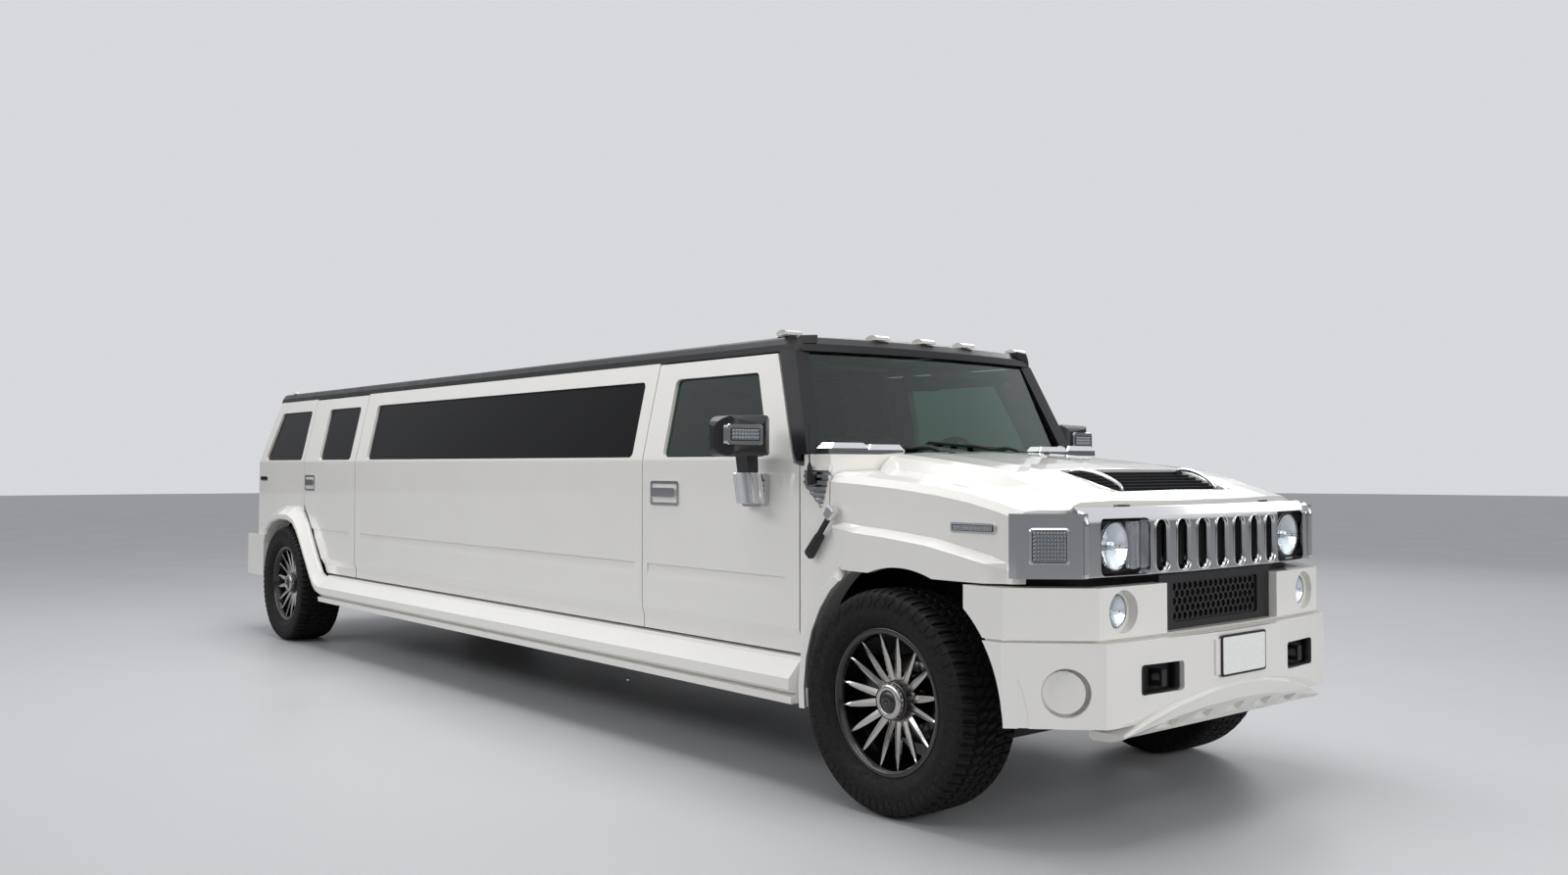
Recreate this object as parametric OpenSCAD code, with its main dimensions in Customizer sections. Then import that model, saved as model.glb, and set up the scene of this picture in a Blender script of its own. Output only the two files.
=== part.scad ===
// Stretched sport utility limousine as an assembly of separate sub-parts
// Millimetres, X forward, Y to the left, Z up, wheels stand on Z = 0

/* [Overall] */
// Distance between the axles
wheelbase = 6700; // [6300:10:7300]
// Front axle to the face of the front bumper
front_overhang = 945; // [940:1:970]
// Rear axle to the face of the rear bumper
rear_overhang = 960; // [950:1:990]
// Width across the door skins
body_width = 1860; // [1846:2:1874]
// Width across the tops of the door frames
roof_width = 1640; // [1610:2:1680]

/* [Heights] */
// Lower edge of the doors
sill_z = 560; // [554:1:580]
// Lower crease of the doors
crease_z = 665; // [640:1:720]
// Waist line under the windows
belt_z = 1400; // [1394:1:1408]
// Top of the door frames
cant_z = 1890; // [1880:1:1920]
// Top of the roof above the door frames
roof_rise = 88; // [80:1:120]
// Top of the cabin floor
floor_z = 600; // [596:1:612]

/* [Panels] */
// Thickness of doors and lower walls
door_t = 75; // [70:1:85]
// Thickness of window frames
frame_t = 45; // [38:1:55]
// Gap round doors and lids
panel_gap = 8; // [7:0.5:10]
// Thickness of the glass
glass_t = 6; // [4:0.5:8]
// Depth of the glass below the skin
glass_set = 18; // [12:1:22]

/* [Doors] */
// Front axle to the front edge of the front door
front_door_start = 602; // [600:1:606]
// Length of the front door
front_door_len = 1204; // [1160:2:1260]
// Rear axle to the front edge of the rear door
rear_door_start = 1180; // [1120:2:1240]
// Length of the rear door
rear_door_len = 1008; // [990:2:1016]
// Sill of the side windows
window_z = 1412; // [1408:1:1440]
// Height of the side windows
window_h = 388; // [340:2:420]

/* [Wheels] */
// Tyre diameter
tyre_d = 889; // [870:1:900]
// Tyre width
tyre_w = 318; // [290:2:330]
// Rim diameter at the bead
rim_d = 567; // [540:1:580]
// Distance between the wheel centres on an axle
track = 1763; // [1750:1:1776]
// Radius of the front wheel openings
front_arch_r = 535; // [525:1:545]
// Number of split spokes on a wheel
spoke_pairs = 8; // [6:1:10]

/* [Front] */
// Number of grille slots
slots = 7; // [5:1:9]
// Distance from slot to slot
slot_pitch = 128; // [110:1:140]
// Width of a slot
slot_w = 82; // [60:1:90]
// Radius of the head lamps
lamp_r = 92; // [80:1:100]
// Radius of the fog lamps
fog_r = 62; // [50:1:70]

/* [Hidden] */
$fn = 48;
arc_n = 5;
eps = 0.01;
body_length = front_overhang + wheelbase + rear_overhang;
front_axle_x = body_length / 2 - front_overhang;
rear_axle_x = front_axle_x - wheelbase;
skin_y = body_width / 2;
cant_y = roof_width / 2;
roof_z = cant_z + roof_rise;
inner_y = skin_y - door_t;
wheel_y = track / 2;
wheel_z = tyre_d / 2;
// Door hinges stand inside the skin near the front edge of each door
hinge_in = 26;
hinge_back = 16;
hinge_y = skin_y - hinge_in;
hinge_zs = [770, 1165];
hinge_pin_r = 7.5;
front_hinge_x = fx(-front_door_start) - hinge_back;
rear_hinge_x = rx(rear_door_start) - hinge_back;
front_swing_r = front_door_len - hinge_back;
rear_swing_r = rear_door_len - hinge_back;
// Windscreen is part of a cone about an upright axis far behind it
screen_r = 4000;
screen_x = fx(-480) - screen_r;
screen_z = 1424;
screen_lean = 197;
screen_top_r = screen_r - screen_lean;
// Front fascia is bowed about an upright axis
bow_r = 5230;
grille_x = fx(front_overhang - 85);
bow_x = grille_x - bow_r;
bumper_x = fx(front_overhang);
// Opening in the grille for a head lamp and its turn lamp
bezel_y0 = 612 + lamp_r + 12 - 264;
bezel_y1 = 612 + lamp_r + 12;
bezel_z0 = 972;
bezel_z1 = 1180;
lamp_x = fx(762);
hood_axis_x = fx(718);
hood_axis_z = 1204;
hood_z = 944;
gate_axis_z = cant_z - 24;
gate_axis_x = rear_x(gate_axis_z) + 26;
post_y = 785;
gate_y = post_y - panel_gap - 7;
kingpin_y = wheel_y - 111;
rail_y0 = 370;
rail_y1 = 450;
rail_z0 = 500;
rail_z1 = floor_z - 20;
spindle_r = 40;
rear_bumper_z = 808;
fit = 0.3;

// Places measured from the front axle and from the rear axle
function fx(d) = front_axle_x + d;
function rx(d) = rear_axle_x + d;
function unit(v) = v / norm(v);

// Outline points are [x, y, corner radius], and each round corner becomes a short arc
function corner(a, p, b) = p[2] <= 0 ? [[p[0], p[1]]] : let (
    q = [p[0], p[1]],
    u = unit([a[0], a[1]] - q),
    v = unit([b[0], b[1]] - q),
    half = acos(u * v) / 2,
    c = q + unit(u + v) * p[2] / sin(half),
    s = q + u * p[2] / tan(half) - c,
    e = q + v * p[2] / tan(half) - c,
    a0 = atan2(s[1], s[0]),
    turn = (atan2(e[1], e[0]) - a0 + 540) % 360 - 180)
    [for (i = [0:arc_n]) c + p[2] * [cos(a0 + turn * i / arc_n), sin(a0 + turn * i / arc_n)]];
function rounded(pts) = let (n = len(pts))
    [for (i = [0:n - 1]) each corner(pts[(i + n - 1) % n], pts[i], pts[(i + 1) % n])];
function flip(pts) = [for (i = [len(pts) - 1:-1:0]) pts[i]];
module outline(pts) {
    polygon(rounded(pts));
}

// A flat outline drawn in Y and Z and drawn out along X
module along_x(x0, x1) {
    translate([x0, 0, 0]) rotate([90, 0, 90]) linear_extrude(x1 - x0) children();
}
// A flat outline drawn in X and Z and drawn out along Y
module along_y(y0, y1) {
    translate([0, y1, 0]) rotate([90, 0, 0]) linear_extrude(y1 - y0) children();
}
// A flat outline drawn in X and Y and drawn out along Z
module along_z(z0, z1) {
    translate([0, 0, z0]) linear_extrude(z1 - z0) children();
}
module box(x0, x1, y0, y1, z0, z1) {
    translate([x0, y0, z0]) cube([x1 - x0, y1 - y0, z1 - z0]);
}
module both() {
    children();
    mirror([0, 1, 0]) children();
}
// Round bar along Y
module bar_y(x, z, r, y0, y1) {
    translate([x, y0, z]) rotate([-90, 0, 0]) cylinder(r = r, h = y1 - y0, $fn = r > 300 ? 180 : 48);
}
// Round bar along X
module bar_x(y, z, r, x0, x1) {
    translate([x0, y, z]) rotate([0, 90, 0]) cylinder(r = r, h = x1 - x0);
}
// Skin over a row of closed rings that all have the same number of points
module loft(rings) {
    n = len(rings[0]);
    m = len(rings);
    polyhedron(
        points = [for (r = rings) each r],
        faces = concat(
            [[for (j = [0:n - 1]) j]],
            [[for (j = [n - 1:-1:0]) (m - 1) * n + j]],
            [for (i = [0:m - 2], j = [0:n - 1]) [i * n + j, (i + 1) * n + j, i * n + (j + 1) % n]],
            [for (i = [0:m - 2], j = [0:n - 1])
                [i * n + (j + 1) % n, (i + 1) * n + j, (i + 1) * n + (j + 1) % n]]));
}

// Cross-section of the side walls, left side
function skin_at(z) = z <= belt_z ? skin_y
    : skin_y - (z - belt_z) * (skin_y - cant_y) / (cant_z - belt_z);
function skin_line(in = 0) = [
    [skin_y - 14 - in, sill_z, 0],
    [skin_y - 14 - in, crease_z - 45, 10],
    [skin_y - in, crease_z, 14],
    [skin_y - in, belt_z, 60],
    [cant_y - in, cant_z, 0]];
module wall_section() {
    outline(concat(skin_line(), [
        [cant_y - frame_t, cant_z, 0],
        [skin_y - frame_t - 4, belt_z + 8, 0],
        [inner_y, belt_z - 14, 0],
        [inner_y, sill_z, 0]]));
}
module wall(x0, x1) {
    difference() {
        along_x(x0, x1) wall_section();
        crease_groove(x0, x1);
    }
}
// Shallow groove along the doors with a sharp upper edge
module crease_groove(x0, x1) {
    z = 884;
    along_x(x0 + 100, x1 - 100) polygon([[skin_y - 10, z], [skin_y + 5, z], [skin_y + 5, z - 70],
        [skin_y, z - 66]]);
}
// Pane that lies parallel to the upper wall
module pane(x0, x1) {
    z0 = window_z - 4;
    z1 = window_z + window_h + 4;
    d = glass_set;
    along_x(x0, x1) polygon([
        [skin_at(z0) - d, z0], [skin_at(z1) - d, z1],
        [skin_at(z1) - d - glass_t, z1], [skin_at(z0) - d - glass_t, z0]]);
}
// Four-sided window outline in X and Z, e draws it in
function window(front0, front1, rear0, rear1, e) = [
    [front0 - e, window_z + e, 28],
    [front1 - e, window_z + window_h - e, 28],
    [rear1 + e, window_z + window_h - e, 28],
    [rear0 + e, window_z + e, 28]];
function front_window(e) = window(fx(-815), fx(-990), fx(-front_door_start - front_door_len + 166),
    fx(-front_door_start - front_door_len + 166), e);
function stretch_window(e) = window(fx(-front_door_start - front_door_len - 104),
    fx(-front_door_start - front_door_len - 104), rx(rear_door_start + 200), rx(rear_door_start + 200), e);
function rear_window(e) = window(rx(rear_door_start - 100), rx(rear_door_start - 100),
    rx(rear_door_start - rear_door_len + 300), rx(rear_door_start - rear_door_len + 300), e);
function quarter_window(e) = window(rx(rear_door_start - rear_door_len - 72),
    rx(rear_door_start - rear_door_len - 72), rx(-740), rx(-560), e);

// Rear end of the body, seen from the side
function rear_line(in) = [
    [rx(-895 + in), 470, 0],
    [rx(-872 + in), 1390, 60],
    [rx(-640 + in), cant_z + 60, 0]];
function rear_x(z) = z > 1390 ? rx(-872 + (z - 1390) * 232 / (cant_z + 60 - 1390)) : rx(-872 - (1390 - z) * 23 / 920);

// Hinge parts stand at an upright axis, left side
module hinge_pocket(x) {
    for (z = hinge_zs) box(x - 22, x + 40, hinge_y - 90, hinge_y + 18, z - 25, z + 25);
}
module hinge_pin(x) {
    for (z = hinge_zs) translate([x, hinge_y, z - 34]) cylinder(r = hinge_pin_r, h = 68);
}
module hinge_eye(x) {
    for (z = hinge_zs) {
        difference() {
            union() {
                translate([x, hinge_y, z - 18]) cylinder(r = 12.5, h = 36);
                translate([x, hinge_y, z - 16]) rotate([0, 0, -62]) translate([10, -6, 0]) cube([50, 12, 32]);
                box(x + hinge_back + panel_gap, x + 54, hinge_y - 62, hinge_y - 38, z - 18, z + 18);
            }
            translate([x, hinge_y, z - 30]) cylinder(r = hinge_pin_r + fit, h = 60);
        }
    }
}
// Room that the front corner of a door sweeps
module hinge_room(x) {
    r = sqrt(hinge_in * hinge_in + hinge_back * hinge_back) + 6;
    translate([x, hinge_y, 0]) cylinder(r = r, h = cant_z - 5);
}
module swing(x, r) {
    translate([x, hinge_y, 0]) cylinder(r = r, h = 2400, $fn = 180);
}
module handle(x0, x1) {
    z0 = 1176;
    z1 = 1296;
    difference() {
        along_y(skin_y - 10, skin_y + 7) outline([[x0, z0, 14], [x1, z0, 14], [x1, z1, 14], [x0, z1, 14]]);
        along_y(skin_y - 4, skin_y + 20) outline([[x0 + 14, z0 + 14, 8], [x1 - 14, z0 + 14, 8],
            [x1 - 14, z1 - 14, 8], [x0 + 14, z1 - 14, 8]]);
    }
    along_y(skin_y - 10, skin_y + 16) outline([[x0 + 26, z0 + 42, 8], [x1 - 26, z0 + 42, 8],
        [x1 - 26, z1 - 34, 8], [x0 + 26, z1 - 34, 8]]);
}

module front_door() {
    x1 = fx(-front_door_start);
    x0 = x1 - front_door_len;
    difference() {
        intersection() {
            wall(x0 - 60, x1);
            along_y(600, skin_y + 100) polygon([[x1, sill_z], [x1, belt_z - 28], [x1 - 40, belt_z - 18],
                [x1 - 272, cant_z - panel_gap], [x0 - 60, cant_z - panel_gap], [x0 - 60, sill_z]]);
            swing(front_hinge_x, front_swing_r);
        }
        along_y(600, skin_y + 100) outline(front_window(0));
        hinge_pocket(front_hinge_x);
    }
    hinge_pin(front_hinge_x);
    handle(x0 + 76, x0 + 316);
}
module rear_door() {
    x1 = rx(rear_door_start);
    x0 = x1 - rear_door_len;
    difference() {
        intersection() {
            wall(x0 - 60, x1);
            along_y(600, skin_y + 100) outline([[x1, sill_z, 0], [x1, cant_z - panel_gap, 0],
                [x0 - 60, cant_z - panel_gap, 0], [x0 - 60, 1078, 0], [x0, 1078, 50], [x0 + 362, 670, 300],
                [x0 + 452, sill_z, 30]]);
            swing(rear_hinge_x, rear_swing_r);
        }
        along_y(600, skin_y + 100) outline(rear_window(0));
        hinge_pocket(rear_hinge_x);
    }
    hinge_pin(rear_hinge_x);
    handle(x0 + 30, x0 + 236);
}
module front_glass() {
    intersection() {
        pane(fx(-2200), fx(-700));
        along_y(600, skin_y + 100) outline(front_window(fit));
    }
}
module rear_glass() {
    intersection() {
        pane(rx(-200), rx(1300));
        along_y(600, skin_y + 100) outline(rear_window(fit));
    }
}

module stretch_panel() {
    x1 = fx(-front_door_start - front_door_len);
    x0 = rx(rear_door_start) + panel_gap;
    difference() {
        wall(x0, x1 + 30);
        swing(front_hinge_x, front_swing_r + panel_gap);
        hinge_room(rear_hinge_x);
        along_y(600, skin_y + 100) outline(stretch_window(0));
    }
    hinge_eye(rear_hinge_x);
}
module stretch_panels() {
    color("white") both() stretch_panel();
}

// Lip of the rear wheel opening and of the skirt in front of it
// Columns are distance from the rear axle, height, band width
rear_lip = [
    [-484, 560, 70], [-482, 740, 90], [-440, 845, 100], [-330, 908, 106], [-150, 938, 110],
    [40, 936, 112], [160, 912, 100], [246, 856, 80], [320, 780, 68], [450, 630, 62],
    [545, 520, 66], [600, 462, 98], [660, 424, 128], [740, 405, 147]];
module rear_opening() {
    along_y(500, skin_y + 200) polygon(concat(
        [for (p = rear_lip) [rx(p[0]), p[1]]], [[rx(740), 200], [rx(-484), 200]]));
}
module quarter_panel() {
    x0 = rx(rear_door_start - rear_door_len);
    difference() {
        union() {
            intersection() {
                wall(rx(-1000), x0 + 700);
                along_y(600, skin_y + 100) outline(concat(rear_line(0), [
                    [rx(0), cant_z + 60, 0], [x0 + 60, cant_z + 60, 0], [x0 + 60, 1062, 0], [x0 - 6, 1062, 50],
                    [x0 + 344, 664, 300], [x0 + 430, sill_z, 0], [x0 + 430, 470, 0]]));
            }
            // Corner post beside the tailgate
            intersection() {
                along_x(rx(-1000), rx(-400)) polygon([[post_y, sill_z], [skin_y - 2, sill_z],
                    [skin_y - 2, belt_z], [cant_y - 2, cant_z], [post_y, cant_z]]);
                along_y(600, skin_y + 100) outline(concat(rear_line(0), flip(rear_line(70))));
            }
        }
        swing(rear_hinge_x, rear_swing_r + panel_gap);
        rear_opening();
        along_y(600, skin_y + 100) outline(quarter_window(0));
    }
    // Pivot for the tailgate
    bar_y(gate_axis_x, gate_axis_z, 10, gate_y - 30, post_y + 15);
}
module quarter_panels() {
    color("white") both() quarter_panel();
}
module fixed_side_glass() {
    color("black") both() {
        intersection() {
            pane(rx(1000), fx(-1600));
            along_y(600, skin_y + 100) outline(stretch_window(fit));
        }
        intersection() {
            pane(rx(-1000), rx(400));
            along_y(600, skin_y + 100) outline(quarter_window(fit));
        }
    }
}

// Wheel openings of the front end
module front_opening(y0, y1, r) {
    bar_y(fx(75), 440, r, y0, y1);
}
module cowl_panel() {
    x0 = fx(-front_door_start) + panel_gap;
    difference() {
        along_y(inner_y, skin_y) polygon([[x0, sill_z - 4], [x0, 1370], [fx(-408), 1370], [fx(-408), 1164], [fx(-304), 950],
            [fx(-240), 944], [fx(-240), 420], [fx(-558), 420], [fx(-558), sill_z - 4]]);
        front_opening(500, 1200, 606);
        hinge_room(front_hinge_x);
        side_vent(skin_y - 14, skin_y + 60, 0);
    }
    hinge_eye(front_hinge_x);
}
module cowl_panels() {
    color("white") both() cowl_panel();
}

// Bands carried along a path in X and Z, section rows are [share of width, y]
function band(path, x0, section) = [for (i = [0:len(path) - 1]) let (
    p = path[i],
    a = path[max(0, i - 1)],
    b = path[min(len(path) - 1, i + 1)],
    t = unit([b[0] - a[0], b[1] - a[1]]),
    n = [-t[1], t[0]])
    [for (s = section) [x0 + p[0] + n[0] * s[0] * p[2], s[1], p[1] + n[1] * s[0] * p[2]]]];
skirt_y = skin_y + 92;
function skirt_section(yin) = [[0, yin], [0, skirt_y - 16], [0.1, skirt_y], [0.42, skirt_y],
    [0.9, skin_y + 24], [1, skin_y + 18], [1, yin]];
front_lip = [[-458, 358, 96], [-462, 450, 98], [-448, 570, 100], [-414, 684, 100], [-362, 782, 98],
    [-300, 860, 94], [-226, 918, 92]];
module side_skirt() {
    x1 = fx(-566);
    // Rear flare runs into the skirt
    difference() {
        loft(band(rear_lip, rear_axle_x, skirt_section(skin_y)));
        box(rx(-700), rx(-300), 0, 1200, 0, rear_bumper_z + 1);
    }
    along_x(rx(740), x1) polygon([for (s = skirt_section(inner_y - 10)) [s[1], 405 + s[0] * 147]]);
    along_x(rx(690), x1) polygon([[inner_y - 10, 405.5], [skirt_y - 40, 405.5], [skirt_y - 44, 396],
        [skirt_y - 12, 390], [skirt_y - 16, 357], [inner_y - 10, 357]]);
    // Front flare behind the wheel
    intersection() {
        loft(band(front_lip, front_axle_x, [[0.7, skin_y], [0.05, skirt_y - 12], [0, skirt_y + 4],
            [0.3, skirt_y + 8], [0.92, skin_y + 26], [1, skin_y + 18], [1, skin_y]]));
        along_y(500, 1200) polygon([[fx(-800), 300], [fx(-590), 1240], [fx(-304), 944], [fx(-100), 800],
            [fx(-300), 300]]);
    }
}
module side_skirts() {
    color("white") both() side_skirt();
}

// All that lies behind the curved top edge of the windscreen
module behind_screen(r) {
    translate([screen_x, 0, 0]) cylinder(r = r, h = 3000, $fn = 180);
    box(rx(-1200), screen_x + r * 0.6, -1200, 1200, 0, 3000);
}
module roof_panel() {
    half = cant_y - 120;
    color("white") {
        intersection() {
            along_x(rx(-640), fx(-600)) outline([[half, roof_z - 47, 0], [half, roof_z - 14, 0],
                [half * 0.75, roof_z - 6, 900], [half * 0.4, roof_z - 1, 900], [-half * 0.4, roof_z - 1, 900],
                [-half * 0.75, roof_z - 6, 900], [-half, roof_z - 14, 0], [-half, roof_z - 47, 0]]);
            behind_screen(screen_top_r - 150);
        }
        // Rear header over the tailgate
        box(rear_x(cant_z + 22), rx(-560), -half, half, cant_z + 22, roof_z - 47);
    }
}
module rail() {
    along_x(rx(-1000), fx(-500)) outline([[cant_y, cant_z, 0], [cant_y - 5, cant_z + 30, 10],
        [cant_y - 26, roof_z - 20, 24], [cant_y - 120, roof_z - 14, 0], [cant_y - 120, roof_z - 50, 0],
        [cant_y - frame_t, roof_z - 54, 0], [cant_y - frame_t, cant_z, 0]]);
}
module roof_frame() {
    r = screen_top_r;
    color([0.1, 0.1, 0.1]) {
        // Rails along both sides
        intersection() {
            both() rail();
            behind_screen(r + 2);
            along_y(-1200, 1200) outline(concat([[rx(-640), cant_z + 200, 0]], flip(rear_line(0)),
                [[fx(0), 470, 0], [fx(0), cant_z + 200, 0]]));
        }
        // Header above the windscreen
        intersection() {
            translate([screen_x, 0, 0]) rotate([0, 0, -15]) rotate_extrude(angle = 30, $fn = 240)
                outline([[r + 6, cant_z, 0], [r - 2, cant_z + 34, 8], [r - 44, roof_z - 20, 30],
                    [r - 150, roof_z - 14, 0], [r - 150, roof_z - 50, 0], [r - 60, cant_z + 24, 0],
                    [r - 40, cant_z, 0]]);
            box(fx(-1200), fx(0), -cant_y + 30, cant_y - 30, 1800, 2100);
        }
        // Posts beside the windscreen
        both() intersection() {
            along_x(fx(-1000), fx(-400)) polygon([[skin_y, belt_z - 10], [skin_y, belt_z], [cant_y, cant_z],
                [cant_y - 80, cant_z], [skin_y - 80, belt_z], [skin_y - 80, belt_z - 10]]);
            along_y(500, 1200) polygon([[fx(-620), belt_z - 10], [fx(-594), belt_z - 10], [fx(-594), 1420],
                [fx(-554), 1420], [fx(-756), cant_z], [fx(-864), cant_z], [fx(-654), belt_z + 40]]);
        }
    }
}
module windscreen() {
    b = screen_r - 12;
    t = screen_top_r - 12;
    z1 = cant_z - fit;
    color([0.6, 0.75, 0.7, 0.5]) intersection() {
        translate([screen_x, 0, 0]) rotate([0, 0, -15]) rotate_extrude(angle = 30, $fn = 240)
            polygon([[b, screen_z], [t, z1], [t - glass_t, z1], [b - glass_t, screen_z]]);
        along_x(fx(-1200), fx(0)) polygon([
            [skin_at(screen_z) - 80 - fit, screen_z], [skin_at(z1) - 80 - fit, z1],
            [-skin_at(z1) + 80 + fit, z1], [-skin_at(screen_z) + 80 + fit, screen_z]]);
    }
}
module cowl_top() {
    color("white") along_y(-skin_y + 10, skin_y - 10) polygon([[fx(-578), 1370], [fx(-410), 1370], [fx(-410), 1420],
        [fx(-578), 1420]]);
}
module cowl_vents() {
    color("silver") both() difference() {
        along_y(620, skin_y - 24) outline([[fx(-522), 1420, 0], [fx(-522), 1464, 0], [fx(-450), 1460, 14],
            [fx(-412), 1420, 0]]);
        for (i = [0:3]) box(fx(-508 + i * 17), fx(-500 + i * 17), 640, skin_y - 60, 1448, 1500);
    }
    // Louvres behind the fenders
    color("silver") both() difference() {
        side_vent(skin_y - 14, skin_y + 6, fit);
        for (i = [0:5]) translate([fx(-570), skin_y - 4, 1200 + i * 26]) rotate([20, 0, 0]) cube([170, 30, 12]);
    }
}
module roof_marker_lamps() {
    color("orange") {
        for (y = [-790, -300, 0, 300, 790]) {
            x = screen_x + sqrt(pow(screen_top_r - 70, 2) - y * y);
            translate([x, y, roof_z - 18]) intersection() {
                translate([0, 0, -40]) rotate([90, 0, 0]) cylinder(r = 66, h = 90, center = true);
                box(-38, 38, -45, 45, 2, 40);
            }
        }
    }
}

// Hood and fenders tilt forward in one piece
// Columns are place, middle height, crease half width, shoulder height, shoulder half width,
// ledge height, flare half width
hood_rows = [
    [-600, 1430, 600, 1340, 924, 1120, 930],
    [-420, 1430, 606, 1336, 928, 1122, 936],
    [-310, 1426, 614, 1332, 932, 1118, 962],
    [-200, 1418, 630, 1326, 936, 1108, 990],
    [0, 1398, 660, 1312, 940, 1096, 1002],
    [220, 1374, 690, 1290, 944, 1076, 1008],
    [380, 1352, 708, 1266, 944, 1048, 1008],
    [500, 1318, 724, 1240, 942, 1024, 1000],
    [572, 1292, 734, 1220, 938, 1000, 952],
    [660, 1264, 744, 1200, 930, 990, 940],
    [800, 1222, 760, 1176, 920, 980, 930]];
function hood_half(r) = [
    [0, r[1] + 8], [r[2] - 200, r[1] + 3], [r[2] - 40, r[1] - 7], [r[2], r[1] - 20],
    [r[2] + 30, r[3] + 20], [r[4] - 70, r[3] + 12], [r[4] - 22, r[3] - 2], [r[4], r[3] - 32],
    [r[4] + 6, r[5] + 18], [r[6], r[5] - 8], [r[6] + 3, hood_z]];
function hood_inner(r) = [
    [0, r[1] - 24], [r[2] - 56, r[1] - 38], [r[2] + 16, r[3] - 12], [r[4] - 82, r[3] - 20],
    [r[4] - 36, r[3] - 48], [r[4] - 32, r[5] + 4], [r[6] - 36, r[5] - 22], [r[6] - 32, 900]];
function hood_ring(x, h) = [for (p = concat(flip(h), [for (i = [1:len(h) - 1]) [-h[i][0], h[i][1]]]))
    [x, p[0], p[1]]];
module hood_shell() {
    last = len(hood_rows) - 1;
    difference() {
        loft([for (r = hood_rows) hood_ring(fx(r[0]), hood_half(r))]);
        loft([for (i = [0:last]) let (r = hood_rows[i])
            hood_ring(fx(r[0] + (i == 0 ? -20 : i == last ? 20 : 0)), hood_inner(r))]);
    }
}
// Half width of the bowed fascia and the corner that is cut off it
module fascia_plan(x, w, sag, xs, ws, xr) {
    n = 8;
    polygon(concat(
        [for (i = [-n:n]) [x - sag * pow(i / n, 2), w * i / n]],
        [[xs, ws], [xr, ws], [xr, -ws], [xs, -ws]]));
}
module hood_plan() {
    fascia_plan(grille_x - 88, 788, 60, fx(552), 1012, fx(-400));
}
module hood() {
    color("white") {
        difference() {
            intersection() {
                hood_shell();
                along_z(900, 1500) hood_plan();
            }
            // Room for the cowl
            along_y(-1200, 1200) outline([[fx(-700), 1358, 0], [fx(-402), 1358, 40], [fx(-318), 1470, 0],
                [fx(-318), 1600, 0], [fx(-700), 1600, 0]]);
            // Slanted lower edge at the rear
            along_y(-1200, 1200) polygon([[fx(-700), 1160], [fx(-400), 1160], [fx(-296), 946], [fx(-296), 800],
                [fx(-700), 800]]);
            front_opening(-1200, 1200, front_arch_r);
            // Louvre opening
            hood_vent_cut();
            both() hood_feet();
            both() box(hood_axis_x - 40, hood_axis_x + 40, 454, 546, 1100, hood_axis_z + 22);
        }
        both() hood_lug();
    }
}
// Opening for louvres in the sloping front of the hood
module hood_vent_cut() {
    translate([fx(385), 0, 1352]) rotate([0, 17.5, 0]) along_z(-100, 60)
        outline([[0, -430, 30], [280, -380, 30], [280, 380, 30], [0, 430, 30]]);
}
module hood_lug() {
    difference() {
        union() {
            bar_y(hood_axis_x, hood_axis_z, 18, 485, 515);
            box(hood_axis_x - 70, hood_axis_x, 485, 515, hood_axis_z - 18, hood_axis_z + 40);
        }
        bar_y(hood_axis_x, hood_axis_z, 8 + fit, 480, 520);
    }
}
// Feet of the rails and studs of the latches
module hood_feet() {
    translate([fx(385), 0, 1352]) rotate([0, 17.5, 0]) {
        translate([40, 452, -16]) cylinder(r = 10, h = 46);
        translate([270, 412, -16]) cylinder(r = 10, h = 46);
    }
    bar_y(fx(-366), 1168, 12, skin_y - 20, skin_y + 30);
}
module side_vent(y0, y1, e) {
    along_y(y0, y1) outline([[fx(-566 + e), 1352 - e, 8], [fx(-400 - e), 1352 - e, 8],
        [fx(-452 - e), 1186 + e, 8], [fx(-566 + e), 1290 - e, 8]]);
}
module hood_vents() {
    color("silver") {
        // Louvre panel in the hood
        translate([fx(385), 0, 1352]) rotate([0, 17.5, 0]) {
            along_z(-36, -26) outline([[fit, -429, 30], [280 - fit, -379, 30], [280 - fit, 379, 30], [fit, 429, 30]]);
            for (i = [0:5]) translate([26 + i * 42, -375, -30]) rotate([0, -28, 0]) cube([36, 750, 5]);
        }
    }
}
module hood_hardware() {
    color("silver") {
        // Arched rails beside the louvres
        both() {
            hood_feet();
            translate([fx(385), 0, 1352]) rotate([0, 17.5, 0]) translate([40, 452, 22]) rotate([0, 0, -9.9])
                rotate([0, 90, 0]) cylinder(r = 10, h = 233);
            // Latch on the fender side
            translate([fx(-385), skin_y, 1145]) rotate([0, 40, 0]) {
                box(-14, 14, 26, 40, -150, 20);
                box(-26, 26, 26, 46, -4, 44);
            }
        }
    }
}

// Fascia
module grille() {
    color("silver") {
        difference() {
            union() {
                intersection() {
                    translate([bow_x, 0, 0]) rotate([0, 0, -12]) rotate_extrude(angle = 24, $fn = 240)
                        outline([[bow_r, 968, 6], [bow_r - 2, 1176, 34], [bow_r - 56, 1224, 6],
                            [bow_r - 60, 1212, 0], [bow_r - 45, 1186, 0], [bow_r - 45, 968, 0]]);
                    box(fx(0), fx(1200), -790, 790, 900, 1300);
                }
                both() grille_cap();
                both() box(fx(652), grille_x - 24, 400, 430, 985, 1020);
            }
            for (i = [0:slots - 1]) translate([0, (i - (slots - 1) / 2) * slot_pitch, 0]) slot_cut();
            both() along_x(fx(700), fx(1000)) outline([[bezel_y0, bezel_z0, 24], [bezel_y1, bezel_z0, 24],
                [bezel_y1, bezel_z1, 24], [bezel_y0, bezel_z1, 24]]);
        }
    }
}
module slot_cut() {
    w = slot_w / 2;
    along_x(fx(700), fx(1000)) outline([[-w, 976, w - 3], [w, 976, w - 3], [w, 1172, w - 3],
        [-w, 1172, w - 3]]);
}
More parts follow.
